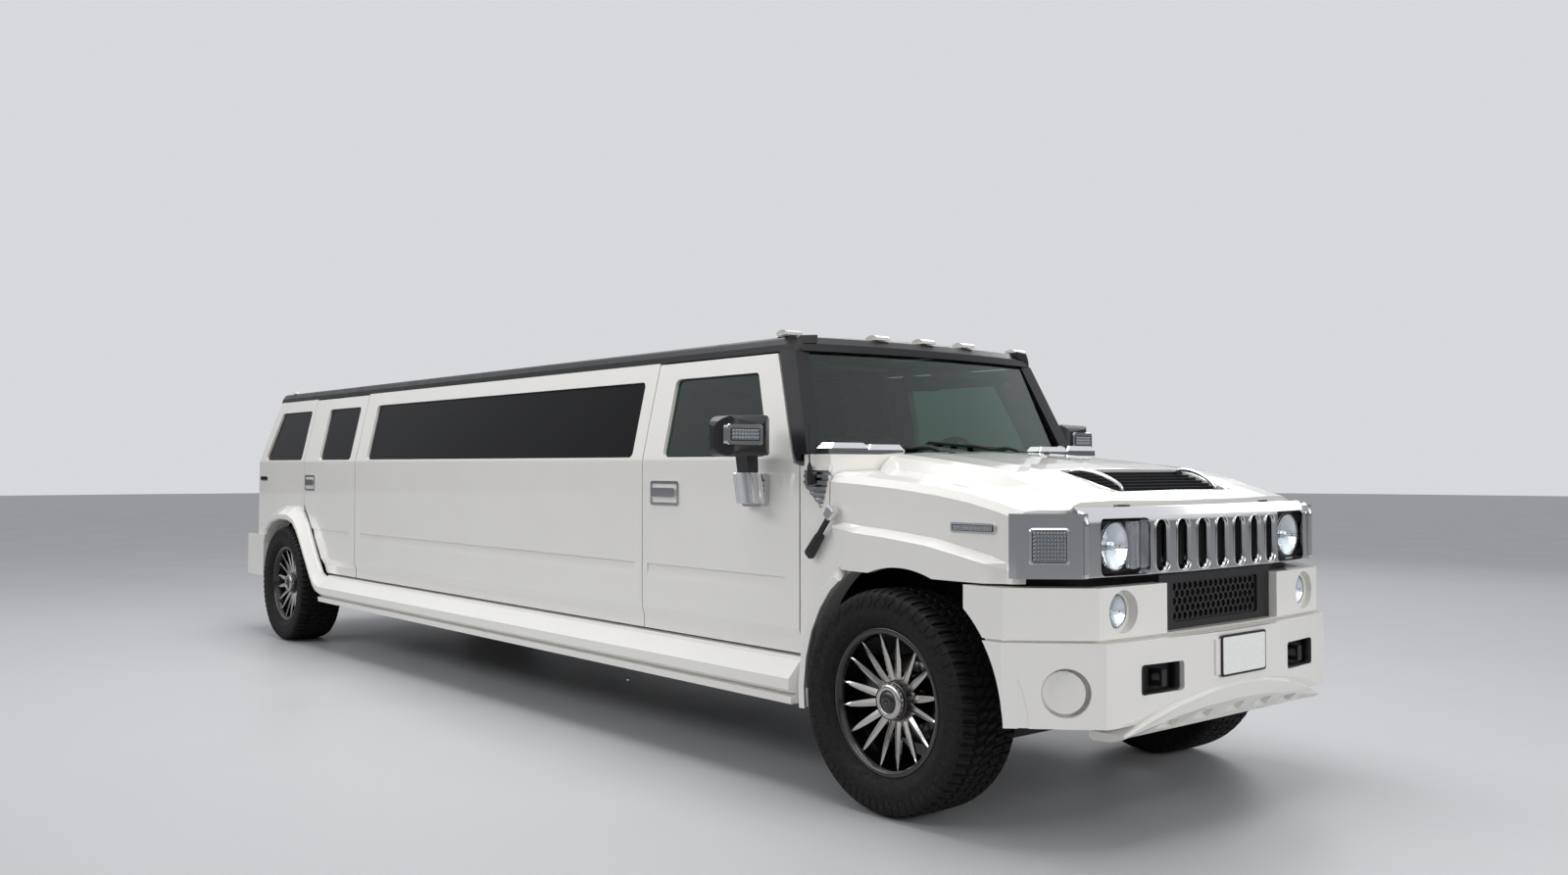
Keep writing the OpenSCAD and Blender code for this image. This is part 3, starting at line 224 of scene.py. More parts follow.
# Moulded plastic with a leather-like grain
MAT["plastic"] = surface("black_moulded_plastic", "151517", 0.5, (0.42, 0.58, 30), None, (1.2, 2.0, 0.08))
# White enamel of the bare plate
MAT["plate"] = surface("plate_enamel", "F4F4F1", 0.3, (0.25, 0.35, 15), Coat_Weight=0.5)
# Silvered mirror glass
MAT["silver"] = surface("mirror_silver", "E6E8EA", 0.02, (0.01, 0.04, 50), Metallic=1.0)
# Clear windscreen glass has a green cast
MAT["glass"] = surface("green_tinted_glass", "6A857B", 0.0, (0.0, 0.01, 300), Transmission_Weight=1.0,
                       IOR=1.45)
# Privacy glass is black from outside and only mirrors the room
MAT["privacy"] = surface("privacy_glass", "040405", 0.03, (0.02, 0.05, 500), Specular_IOR_Level=0.12)
# Clear plastic over the lamps
MAT["lens"] = surface("clear_lens", "F2F5F7", 0.02, (0.0, 0.03, 25), Transmission_Weight=1.0, IOR=1.4)
# Marker lens: milky clear plastic with flutes
mat = MAT["marker"] = surface("marker_lens", "E9E7E0", 0.12, Transmission_Weight=0.35, Coat_Weight=1.0)
relief(mat, waves(mat, 5, "Y"), 0.4)
# Red lens plastic shows upright optics
mat = MAT["red"] = surface("red_lens", "8E0D0F", 0.08, Coat_Weight=1.0, Coat_Roughness=0.03)
relief(mat, waves(mat, 6, "Y"), 0.6)
# Small square optics pressed into the lens
mat = MAT["pressed"] = surface("pressed_lens", "E9EDF0", 0.05, Transmission_Weight=0.85, IOR=1.45)
relief(mat, cells(mat, 9, 0.0, distance="CHEBYCHEV"), 1.5)
# Gridded lens over its reflector reads as small bright cells
MAT["bright"] = surface("gridded_lens_plastic", "8F9498", 0.10, (0.09, 0.16, 12), Metallic=0.7,
                        Coat_Weight=0.6)
# Reflector bowl in small facets
mat = MAT["reflector"] = surface("faceted_reflector", "E2E4E6", 0.05, Metallic=1.0)
relief(mat, cells(mat, 14, 0.2), 0.8)
# Chassis enamel: dull black with dust in it
MAT["steel"] = surface("chassis_enamel", "1C1C1D", 0.55, None, ("18181A", "262524", 90), (6, 4.0, 0.15))
# Rough grey castings of the engine and gearbox
MAT["cast"] = surface("cast_iron", "46474A", 0.6, None, ("3A3B3E", "55565A", 40), (2, 5.0, 0.25),
                      Metallic=0.7)
# Tyre rubber: dull, a little grey where dust lies
MAT["rubber"] = surface("tyre_rubber", "0B0B0C", 0.66, (0.62, 0.85, 20), ("090909", "101011", 35),
                        (1.5, 3.0, 0.12), Specular_IOR_Level=0.3)
# Barrel in gloss black, spokes plated over a dark base coat
MAT["barrel"] = surface("gloss_black_enamel", "0A0A0B", 0.2, (0.16, 0.28, 30), Coat_Weight=0.4,
                        Coat_Roughness=0.05)
MAT["spoke"] = surface("dark_plating", "B9B5B1", 0.12, (0.09, 0.17, 25), Metallic=1.0)
# Seat leather: fine cells and a soft wear
mat = MAT["leather"] = surface("seat_leather", "7C7264", 0.5, None, ("857A6B", "6E6558", 130))
relief(mat, cells(mat, 3), 0.15)
# Walnut of the bar, its rings bent and lacquered over
mat = MAT["wood"] = surface("lacquered_walnut", "4A2A18", 0.25, Coat_Weight=0.8)
tint(mat, "4A2A18", "6B4125", waves(mat, 40, "Z", Distortion=6.0, Detail=3.0))
# Roof lining: pale knit
mat = MAT["lining"] = surface("knit_lining", "A9ABA6", 0.9)
relief(mat, cells(mat, 2.5, 0.3), 0.2)

# Material of each CAD node
LOOK = {
    "paint": """stretch_panels quarter_panels cowl_panels cowl_top roof_panel front_bumper rear_bumper
        side_skirts hood tailgate""",
    "door": "front_left_door front_right_door rear_left_door rear_right_door",
    "roof": "roof_frame",
    "brushed": "grille",
    "latch": "hood_hardware",
    "mirror": "left_mirror right_mirror",
    "chrome": "cowl_vents",
    "spoke": "front_left_rim front_right_rim rear_left_rim rear_right_rim",
    "glass": "windscreen front_left_glass front_right_glass",
    "privacy": "fixed_side_glass tailgate_glass rear_left_glass rear_right_glass",
    "plastic": "firewall radiator_support bumper_insert dashboard steering_wheel wheel_tubs hood_vents",
    "steel": "chassis_frame floor_pan front_suspension rear_axle hitch_receiver left_knuckle right_knuckle",
    "cast": "engine_block driveline",
    "lens": "front_lamps",
    "marker": "roof_marker_lamps",
    "red": "tail_lamps",
    "leather": "seats partition",
    "wood": "lounge_bar",
    "rubber": "front_left_tyre front_right_tyre rear_left_tyre rear_right_tyre",
}
for key, names in LOOK.items():
    for name in names.split():
        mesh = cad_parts[name].data
        mesh.materials.clear()
        mesh.materials.append(MAT[key])


# Shapes made from whole arrays
def places(x, y, z):
    """Array of places from three coordinates, each spread over the shape of the others."""
    return np.stack(np.broadcast_arrays(x, y, z), axis=-1)


def unit(a):
    """Directions brought to a length of one."""
    return a / np.linalg.norm(a, axis=-1, keepdims=True)


def angles(steps):
    """Equal steps round a full turn."""
    return np.linspace(0, 2 * math.pi, steps, endpoint=False)


def power(a, e):
    """Power of a size, with its sign kept."""
    return np.sign(a) * np.abs(a) ** e


def piece(name, points, faces, look, body, smooth=True):
    """Mesh object from an array of points and one of faces, riding on a body."""
    mesh = bpy.data.meshes.new(name)
    points = np.asarray(points, float).reshape(-1, 3)
    faces = np.asarray(faces, np.int64)
    count, corners = faces.shape
    mesh.vertices.add(len(points))
    mesh.vertices.foreach_set("co", points.ravel())
    mesh.loops.add(count * corners)
    mesh.loops.foreach_set("vertex_index", faces.ravel())
    mesh.polygons.add(count)
    mesh.polygons.foreach_set("loop_start", np.arange(count) * corners)
    mesh.polygons.foreach_set("use_smooth", np.full(count, smooth))
    mesh.update(calc_edges=True)
    mesh.validate()
    mesh.materials.append(MAT[look])
    obj = bpy.data.objects.new(name, mesh)
    bpy.context.scene.collection.objects.link(obj)
    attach(obj, body)
    return obj


def outward(points, faces):
    """Turns the quads over when the volume that they close is negative."""
    a, b, c, d = np.moveaxis(points.reshape(-1, 3)[faces], 1, 0)
    total = (a * (np.cross(b, c) + np.cross(c, d))).sum()
    return faces if total > 0 else faces[:, ::-1]


def grid_faces(nu, nv, wrap_u, wrap_v):
    """Quads of a grid of points, joined round where it wraps."""
    i = np.arange(nu if wrap_u else nu - 1)[:, None]
    j = np.arange(nv if wrap_v else nv - 1)[None, :]
    a, b = i % nu, (i + 1) % nu
    c, d = j % nv, (j + 1) % nv
    return np.stack([a * nv + c, b * nv + c, b * nv + d, a * nv + d], axis=-1).reshape(-1, 4)


def grid(name, points, look, body, wrap_u=False, wrap_v=False, smooth=True):
    """Surface through a grid of points, faces turned outward."""
    faces = grid_faces(*points.shape[:2], wrap_u, wrap_v)
    faces = outward(points - points.reshape(-1, 3).mean(axis=0), faces)
    return piece(name, points, faces, look, body, smooth)


def turn(name, radius, along, centre, axis, look, body, steps=64):
    """Solid turned about an axis. Each point of the closed profile is a radius and a distance along the
    axis, carried round in equal steps."""
    axis = unit(np.array(axis, float))
    side = unit(np.cross(axis, UP))
    up = np.cross(side, axis)
    t = angles(steps)[:, None, None]
    r = np.asarray(radius, float)[None, :, None]
    a = np.asarray(along, float)[None, :, None]
    points = np.asarray(centre, float) + r * (np.cos(t) * side + np.sin(t) * up) + a * axis
    return grid(name, points, look, body, wrap_u=True, wrap_v=True)


def rounded(corners, radius, n=6):
    """Outline with rounded corners. Each corner becomes an arc of a quadratic curve that starts and ends the
    radius away from it."""
    c = np.asarray(corners, float)
    to_last = np.roll(c, 1, axis=0) - c
    to_next = np.roll(c, -1, axis=0) - c
    a, b = c + unit(to_last) * radius, c + unit(to_next) * radius
    t = np.linspace(0, 1, n)[None, :, None]
    arc = (1 - t) ** 2 * a[:, None] + 2 * t * (1 - t) * c[:, None] + t ** 2 * b[:, None]
    return arc.reshape(-1, 2)


def rectangle(width, height, radius):
    """Outline of a rectangle about its middle, with rounded corners."""
    w, h = width / 2, height / 2
    return rounded([[-w, -h], [w, -h], [w, h], [-w, h]], radius)


def cap(radius, height, foot):
    """Profile of a round cap: a quarter turn from its rim to its top, then down to a foot on the axis."""
    u = np.linspace(0, math.pi / 2, 10)
    return np.append(radius * np.cos(u) + POLE, POLE), np.append(height * np.sin(u), foot)


def slab(name, outline, low, high, origin, u, v, look, body, edge=0.0):
    """Flat plate: an outline in two directions, raised between two heights along their cross product, with
    the upper edge drawn in for a small chamfer."""
    outline, origin = np.asarray(outline, float), np.asarray(origin, float)
    u, v = np.array(u, float), np.array(v, float)
    w = np.cross(u, v)
    middle = outline.mean(axis=0)
    size = np.abs(outline - middle).max()
    # Each ring is a share of the outline's size and a height
    levels = [(0.5, low), (1, low), (1, high), (0.5, high)]
    if edge:
        levels = [(1 - 1e-3, low), (1, low), (1, high - edge), (1 - edge / size, high), (0.5, high)]
    rings = [middle + (outline - middle) * s for s, _ in levels]
    points = np.stack([origin + r[:, :1] * u + r[:, 1:] * v + h * w for r, (_, h) in zip(rings, levels)])
    n = len(outline)
    centre = middle[0] * u + middle[1] * v + origin
    caps = np.stack([np.tile(centre + h * w, (n, 1)) for h in (low, high)])
    points = np.concatenate([caps[:1], points, caps[1:]])
    return grid(name, points, look, body, wrap_v=True, smooth=False)


def panel(name, size, depth, origin, u, v, look, body=MAIN, edge=0.0):
    """Rectangular plate of a width, a height and a corner radius, between two depths."""
    return slab(name, rectangle(*size), *depth, origin, u, v, look, body, edge)


def tube(name, path, radius, look, body, sides=12):
    """Round bar along a path: a circle set square to the path at each of its points."""
    path = np.asarray(path, float)
    radius = np.broadcast_to(np.asarray(radius, float), len(path))
    d = unit(np.gradient(path, axis=0))
    a = unit(np.cross(d, UP if abs(d[:, 2]).mean() < 0.8 else ACROSS))
    b = np.cross(d, a)
    t = angles(sides)[None, :, None]
    ring = path[:, None] + radius[:, None, None] * (np.cos(t) * a[:, None] + np.sin(t) * b[:, None])
    ends = [np.tile(path[k], (1, sides, 1)) for k in (0, -1)]
    return grid(name, np.concatenate([ends[0], ring, ends[1]]), look, body, wrap_v=True)


def block(name, upper, lower, look, body):
    """Closed body between two grids of the same shape, drawn together at its ends."""
    ends = [(upper[:, k:k + 1] + lower[:, k:k + 1]) / 2 for k in (0, upper.shape[1] - 1)]
    shell = [np.concatenate([ends[0], g, ends[1]], axis=1) for g in (upper, lower)]
    return grid(name, np.concatenate([shell[0], shell[1][::-1]]), look, body, wrap_u=True, smooth=False)


def funnel(name, outline, inset, x, look):
    """Closed ring round an opening that faces forward: its outline in two directions, drawn in by a distance
    at each step, where the place along the vehicle is given for each step."""
    middle = (outline.min(axis=0) + outline.max(axis=0)) / 2
    half = (outline.max(axis=0) - outline.min(axis=0)) / 2
    way = unit((outline - middle) / half)
    ring = outline[None] - np.asarray(inset)[:, None, None] * way[None]
    along = np.broadcast_to(x(ring[..., :1]), ring[..., :1].shape)
    return grid(name, np.concatenate([along, ring], axis=-1), look, MAIN, wrap_u=True, wrap_v=True)


def gridded_lens(name, width, height, count, base, peak, origin, u, v, body):
    """Lens plate pressed into small pyramids: height is the lesser of two triangle waves, one along each
    side."""
    thick = 0.003
    u, v = np.array(u, float), np.array(v, float)
    w = np.cross(u, v)
    i = np.arange(2 * count[0] + 1)[:, None, None]
    j = np.arange(2 * count[1] + 1)[None, :, None]
    ridge = np.minimum(i % 2, j % 2)
    flat = np.asarray(origin, float)
    flat = flat + (i / (2 * count[0]) - 0.5) * width * u + (j / (2 * count[1]) - 0.5) * height * v
    return block(name, flat + (base + peak * ridge) * w, flat + (base - thick) * w, "bright", body)


def both_sides(points):
    """The left places and their mirror images."""
    return [("left", np.array(points)), ("right", np.array(points) * [1, -1, 1])]


# Wheels: corner, axle, side and steps round its tyre, then sizes of the tyre
CORNERS = (("front_left", FRONT_AXLE, 1, 1024), ("front_right", FRONT_AXLE, -1, 1024),
           ("rear_left", REAR_AXLE, 1, 512), ("rear_right", REAR_AXLE, -1, 512))
BEAD_R, TYRE_R, SHOULDER_R = 0.2840, 0.4440, 0.4300
TREAD_HALF = 0.150


def wheel_body(corner):
    """Name of the body that turns at one corner."""
    end, side = corner.split("_")
    return "wheel_" + end[0] + side[0]


def saw(p):
    """Triangle wave between minus one and one."""
    return 4 * np.abs((p % 1.0) - 0.5) - 1


def bar_gap(p, share):
    """One inside a gap that takes that share of each pitch."""
    return (np.abs((p % 1.0) - 0.5) < share / 2).astype(float)


def tyre(corner, axle, side, steps):
    """Tyre turned about its axle. The section climbs a bulged side wall and runs over a crowned tread. The
    tread is cut by four wandering grooves and by slanted cross grooves in five rows, with shallow sipes in
    the blocks, and the shoulder carries raised lugs of two lengths."""
    pitches, wall_n, tread_n = 64, 14, 61
    inner_groove, outer_groove = 0.027, 0.082
    groove_depth, sipe_depth = 0.0115, 0.004
    u = np.linspace(0, 1, wall_n + 1)[:-1]
    wall_r = BEAD_R + (SHOULDER_R - BEAD_R) * u
    wall_y = 0.119 + 0.040 * np.sin(0.5 * math.pi * np.clip(u / 0.45, 0, 1))
    wall_y = wall_y - 0.009 * np.clip((u - 0.75) / 0.25, 0, 1) ** 2
    v = np.linspace(-TREAD_HALF, TREAD_HALF, tread_n)
    tread_r = TYRE_R - (TYRE_R - SHOULDER_R) * (np.abs(v) / TREAD_HALF) ** 7
    r = np.concatenate([wall_r, tread_r, wall_r[::-1]])[None, :]
    y = np.concatenate([-wall_y, v, wall_y[::-1]])[None, :]
    on_tread = np.concatenate([np.zeros(wall_n), np.ones(tread_n), np.zeros(wall_n)])[None, :]
    t = angles(steps)[:, None]
    p = t * pitches / (2 * math.pi)
    a = np.abs(y)
    s = np.sign(y)
    long_cut = np.maximum(np.abs(a - inner_groove - 0.006 * saw(p + 0.25 * s)) < 0.0055,
                          np.abs(a - outer_groove - 0.008 * saw(p + 0.5 + 0.2 * s)) < 0.006)
    # Rows are the middle, the next one out and the shoulder
    row = np.where(a < inner_groove, 0, np.where(a < outer_groove, 1, 2))
    next_cut, edge_cut = bar_gap(p + 0.35 + 5 * y, 0.22), bar_gap(p + 0.1 * s - 3 * y, 0.3)
    cross = np.where(row == 0, bar_gap(p + 8 * y, 0.2), np.where(row == 1, next_cut, edge_cut))
    sipe = np.where(row == 2, bar_gap(p * 2 + 0.5 - 6 * y, 0.16), bar_gap(p * 2 + 14 * y, 0.16))
    depth = np.maximum(np.maximum(long_cut, cross) * groove_depth, sipe * sipe_depth) * on_tread
    depth = depth * np.clip((TREAD_HALF - a) / 0.004, 0, 1)
    # Lugs of the shoulder and a fine ring on the side wall
    lug_low = np.where(bar_gap(p * 0.5, 0.5) > 0, 0.382, 0.398) + 0.006 * saw(p)
    lug = ((r > lug_low) & (bar_gap(p + 0.1 * s - 0.45 * s, 0.3) < 0.5)) * (1 - on_tread)
    ring = (np.abs(r - 0.309) < 0.006) * (1 - on_tread)
    swell = (0.0035 * lug + 0.0020 * ring) * s
    r = r - depth
    points = places(axle + r * np.sin(t), side * WHEEL_Y + y + swell, WHEEL_Z + r * np.cos(t))
    obj = grid(corner + "_treaded_tyre", points, "rubber", wheel_body(corner), True, True, smooth=False)
    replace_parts(obj, corner + "_tyre")


def spokes(name, body, axle, side):
    """Sixteen pointed spokes in eight pairs. Each runs straight from beside the hub to the barrel, swells a
    little and then narrows to a point, while its face climbs outward so the wheel is dished. Its section is
    a low roof on upright sides."""
    pairs, long_n = 8, 16
    root_r, length = 0.060, 0.203
    u = np.concatenate([[0.0], np.linspace(0, 1, long_n), [1.0]])[None, :, None]
    full = np.concatenate([[0.0], np.ones(long_n), [0.0]])[None, :, None]
    turned = np.repeat(np.arange(pairs), 2)[:, None, None] * 2 * math.pi / pairs
    twin = np.tile([-1.0, 1.0], pairs)[:, None, None]
    across = np.array([-0.75, -1.0, -0.92, 0.0, 0.92, 1.0, 0.75])[None, None, :]
    drop = np.array([-0.026, -0.010, -0.006, 0.0, -0.006, -0.010, -0.026])[None, None, :]
    half = np.maximum(0.0165 * (1 - u) ** 0.62 * (1 + 0.75 * u), 0.0012) * full
    out = 0.066 + 0.040 * u ** 0.8 + (drop * full - 0.012 * (1 - full)) * (1 - 0.55 * u)
    x = root_r + length * u
    y = twin * (0.0110 + 0.0375 * u) + half * across
    c, s = np.cos(turned), np.sin(turned)
    points = places(axle + x * c - y * s, side * (WHEEL_Y + out), WHEEL_Z + x * s + y * c)
    count, along_n, round_n = points.shape[:3]
    faces = grid_faces(along_n, round_n, False, True)
    faces = (faces[None] + np.arange(count)[:, None, None] * along_n * round_n).reshape(-1, 4)
    flat = points.reshape(-1, 3)
    return piece(name, flat, outward(flat - flat.mean(axis=0), faces), "spoke", body, False)


def rim(corner, axle, side):
    """Black barrel with a stepped lip, a back disc, the hub with its plated ring and black cap, spokes and
    bolts."""
    body = wheel_body(corner)
    at, way = (axle, side * WHEEL_Y, WHEEL_Z), (0, side, 0)
    # Barrel's radius and half width, and the circle of the bolts
    a, w = 0.2832, 0.119
    bolts, bolt_circle = 8, 0.098
    # Part, look, steps, radii and distances out from the middle of the wheel
    turned = (
        ("barrel", "barrel", 128,
         [a - 0.026, a + 0.008, a, a, a + 0.008, a + 0.006, a - 0.010, a - 0.013, a - 0.017, a - 0.017,
          a - 0.020, a - 0.014],
         [-w - 0.010, -w - 0.010, -w, w, w + 0.008, w + 0.010, w + 0.010, w + 0.006, w + 0.004, 0.086,
          0.080, -w + 0.020]),
        ("back_disc", "barrel", 96, [0.043, 0.172, 0.176, 0.172, 0.043],
         [-0.054, -0.054, -0.041, -0.028, -0.028]),
        ("hub", "barrel", 96, [0.0402, 0.078, 0.078, 0.074, 0.0402], [-0.030, -0.030, 0.078, 0.084, 0.084]),
        ("hub_ring", "spoke", 96, [0.044, 0.066, 0.0705, 0.0705, 0.067, 0.048, 0.044],
         [0.0845, 0.0845, 0.088, 0.104, 0.110, 0.113, 0.110]),
        ("hub_cap", "barrel", 64, [POLE, 0.0435, 0.0435, 0.036, 0.020, POLE],
         [0.090, 0.090, 0.108, 0.113, 0.117, 0.118]),
    )
    made = [turn(corner + "_" + part, radius, along, at, way, look, body, steps)
            for part, look, steps, radius, along in turned]
    made.append(spokes(corner + "_spokes", body, axle, side))
    for k in range(bolts):
        t = (k + 0.5) * 2 * math.pi / bolts
        bolt = (axle + bolt_circle * math.cos(t), side * WHEEL_Y, WHEEL_Z + bolt_circle * math.sin(t))
        made.append(turn(corner + "_bolt_" + str(k), [POLE, 0.011, 0.011, 0.008, POLE],
                         [-0.030, -0.030, 0.058, 0.064, 0.064], bolt, way, "spoke", body, 6))
    for obj in made:
        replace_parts(obj, corner + "_rim")


for corner, axle, side, steps in CORNERS:
    tyre(corner, axle, side, steps)
for corner, axle, side, _ in CORNERS:
    rim(corner, axle, side)


# Lamps, with the thickness of their bowls and lenses
LAMP_WALL = 0.002


def dish(depth, radius, n=14):
    """Profile of a bowl: depth grows with the square of the radius; its back lies two millimetres behind."""
    r = np.linspace(POLE, radius, n)
    x = depth * (r / radius) ** 2
    return np.concatenate([r, r[::-1]]), np.concatenate([x, x[::-1] - LAMP_WALL])


def dome(rise, radius, n=12):
    """Profile of a lens: it rises by the square of the radius to the middle, two millimetres thick."""
    r = np.linspace(POLE, radius, n)
    x = rise * (1 - (r / radius) ** 2)
    return np.concatenate([r, r[::-1]]), np.concatenate([x + LAMP_WALL, x[::-1]])


def front_lamps():
    """Head, turn, fog and corner lamps stand for the plain lamp solids."""
    made = []
    bulb = [POLE, 0.012, 0.016, 0.016, POLE], [0.030, 0.027, 0.018, 0.002, 0.001]
    for side, at in both_sides([fx(0.764), 0.612, 1.078]):
        ahead = at + [0.030, 0, 0]
        made.append(turn(side + "_head_reflector", *dish(0.028, 0.0890), at, FORWARD, "reflector", MAIN))
        made.append(turn(side + "_head_bulb", *bulb, at, FORWARD, "chrome", MAIN, 32))
        made.append(turn(side + "_head_lens", *dome(0.018, 0.0900), ahead, FORWARD, "lens", MAIN))
    # Upright turn lamps inboard of the head lamps
    at = (fx(0.7625), 0, 0)
    y0, y1, z0, z1 = 0.464, 0.510, 0.988, 1.164
    for side, s in SIDES:
        shape = rounded([[y0 * s, z0], [y1 * s, z0], [y1 * s, z1], [y0 * s, z1]], 0.014)[::s]
        made.append(slab(side + "_turn_reflector", shape, 0.0, 0.006, at, ACROSS, UP, "reflector", MAIN))
        made.append(slab(side + "_turn_lens", shape, 0.022, 0.034, at, ACROSS, UP, "pressed", MAIN, 0.004))
    for side, at in both_sides([fx(0.796), 0.640, 0.845]):
        ahead = at + [0.024, 0, 0]
        made.append(turn(side + "_fog_reflector", *dish(0.022, 0.0595), at, FORWARD, "reflector", MAIN, 48))
        made.append(turn(side + "_fog_lens", *dome(0.010, 0.0600), ahead, FORWARD, "lens", MAIN, 48))
    # Corner lamps face out at the slant of the corner pieces
    slant = math.radians(43.24)
    shape = rectangle(0.124, 0.114, 0.012)
    for side, s in SIDES:
        at = (fx(0.719), s * 0.896, 1.083)
        along = np.cross(UP, [math.cos(slant), s * math.sin(slant), 0])
        name = side + "_corner_"
        made.append(slab(name + "frame", shape * 1.16, -0.004, 0.008, at, along, UP, "chrome", MAIN, 0.004))
        made.append(slab(name + "reflector", shape, 0.006, 0.009, at, along, UP, "seal", MAIN))
        made.append(gridded_lens(name + "lens", 0.118, 0.108, (10, 8), 0.0095, 0.0050, at, along, UP, MAIN))
    for obj in made:
        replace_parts(obj, "front_lamps")


front_lamps()


# Trim that sits on the solids
def hit(node, start, way):
    """First place where a straight line meets a CAD node."""
    found, point, _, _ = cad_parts[node].ray_cast(Vector(start), Vector(way))
    return np.array(point) if found else np.array(start)


# Windscreen cone: its axis, its foot, the radius there, its height and how much the radius falls over it
SCREEN_X, SCREEN_Z, SCREEN_R = fx(-4.48), 1.424, 3.988
SCREEN_HIGH, SCREEN_FALL = 0.4657, 0.197


def screen_at(y, z, lift):
    """Place on the windscreen, a cone about an upright axis: the radius falls evenly with height."""
    r = SCREEN_R - SCREEN_FALL * (z - SCREEN_Z) / SCREEN_HIGH + lift
    return places(SCREEN_X + np.sqrt(r ** 2 - y ** 2), y, z)


def blank_plate():
    """Bare number plate in a black frame."""
    at = (fx(BUMPER_FACE), 0, 0.650)
    panel("plate_frame", (0.318, 0.158, 0.012), (0.0004, 0.0060), at, ACROSS, UP, "plastic", edge=0.002)
    panel("blank_plate", (0.300, 0.140, 0.010), (0.0055, 0.0075), at, ACROSS, UP, "plate", edge=0.0005)


def mirror_trim(name, side, body):
    """Turn lamp in a plated frame on the front of a mirror head, a ribbed sleeve round its lower arm, and
    silvered glass on its back."""
    name = name + "_mirror_"
    at = (fx(-0.6850), 1.166 * side, 1.504)
    along = np.cross(UP, [0.9963, 0.086 * side, 0.0])
    panel(name + "lamp_frame", (0.186, 0.090, 0.018), (-0.020, 0.0085), at, along, UP, "chrome", body, 0.004)
    panel(name + "lamp_back", (0.152, 0.056, 0.010), (0.008, 0.0095), at, along, UP, "seal", body, 0.0005)
    gridded_lens(name + "lamp_lens", 0.140, 0.046, (9, 3), 0.0098, 0.0040, at, along, UP, body)
    # Plated sleeve: a rounded block whose wall ripples into upright ribs and leans out
    ribs, squareness = 40, 0.35
    t = angles(12 * ribs)[None, :]
    z = np.array([0.0, 0.0, 0.004, 0.132, 0.136, 0.136])[:, None]
    size = np.array([0.01, 0.95, 1.0, 1.0, 0.95, 0.01])[:, None]
    rib = 1 + 0.025 * np.cos(t * ribs)
    x = fx(-0.840) + 0.047 * size * rib * power(np.cos(t), squareness)
    y = 1.008 + 0.17 * z + 0.050 * size * rib * power(np.sin(t), squareness)
    grid(name + "sleeve", places(x, y * side, 1.204 + z), "chrome", body, wrap_v=True, smooth=False)
    at = (fx(-0.808), 1.134 * side, 1.502)
    panel(name + "glass", (0.236, 0.146, 0.040), (0.0004, 0.0030), at, (0, -1, 0), UP, "silver", body, 0.001)


def wiper(name, pivot_y):
    """Blade lying low on the glass, with a bowed back above it and an arm that rises from the cowl."""
    u = np.linspace(0, 1, 24)
    y = np.linspace(pivot_y - 0.02, pivot_y - 0.58, 24)
    z = 1.447 + 0.030 * u
    bow = 0.012 + 0.010 * np.sin(math.pi * u)
    tube(name + "_blade", screen_at(y, z, 0.006), 0.0045, "seal", MAIN, 8)
    tube(name + "_bow", screen_at(y, z + 0.004, bow), 0.004, "seal", MAIN, 8)
    foot = np.array([fx(-0.470), pivot_y + 0.06, COWL_Z + 0.0005])
    tip = screen_at(np.array(pivot_y - 0.30), np.array(1.466), 0.026)
    v = np.linspace(0, 1, 16)[:, None]
    rise = np.array([0.0, 0.0, 0.020]) * np.sin(math.pi * np.minimum(v * 1.6, 1))
    tube(name + "_arm", foot + (tip - foot) * v + rise, np.linspace(0.009, 0.005, 16), "seal", MAIN, 10)
    radius, height = [POLE, 0.016, 0.018, 0.018, POLE], [0.022, 0.022, 0.018, 0.0, 0.0]
    turn(name + "_pivot", radius, height, foot, NEAR_UP, "plastic", MAIN, 24)


def washer_jet(name, y):
    """Small moulded nozzle seated on the rear of the hood."""
    at = hit("hood", (fx(-0.26), y, FAR), DOWN)
    turn(name, *cap(0.014, 0.013, 0.0), at, NEAR_UP, "plastic", HOOD, 24)


def side_marker(name, side):
    """Slim side lamp in a plated frame on the flank of the hood, laid along the flank between two places."""
    name = name + "_side_marker_"
    rear, front, high = [hit("hood", (fx(x), FAR * side, z), (0, -side, 0))
                         for x, z in ((0.300, 1.140), (0.514, 1.140), (0.407, 1.156))]
    along = unit(front - rear)
    middle = (front + rear) / 2
    rise = high - middle
    up = unit(rise - along * (rise @ along))
    if np.cross(along, up)[1] * side < 0:
        along = -along
    panel(name + "frame", (0.222, 0.040, 0.012), (-0.004, 0.006), middle, along, up, "chrome", HOOD, 0.002)
    panel(name + "back", (0.200, 0.024, 0.006), (0.0055, 0.0068), middle, along, up, "seal", HOOD)
    gridded_lens(name + "lens", 0.190, 0.019, (14, 2), 0.0072, 0.0030, middle, along, up, HOOD)


def antenna():
    """Short rod on a rubber foot that is clipped to the right side louvres."""
    foot_r, rod_r, foot_share = 0.0115, 0.0032, 0.28
    at = np.array([fx(-0.508), -0.950, 1.290])
    u = np.linspace(0, 1, 40)
    path = at + places(-0.012 * u, 0.004 * u, 0.270 * u)
    radius = np.where(u < foot_share, foot_r, np.maximum(rod_r, foot_r - 0.10 * (u - foot_share)))
    tube("antenna_rod", path, radius, "seal", MAIN, 12)
    at = (fx(-0.508), -0.9362, 1.312)
    panel("antenna_clip", (0.036, 0.044, 0.008), (0.0, 0.012), at, FORWARD, UP, "seal", edge=0.003)


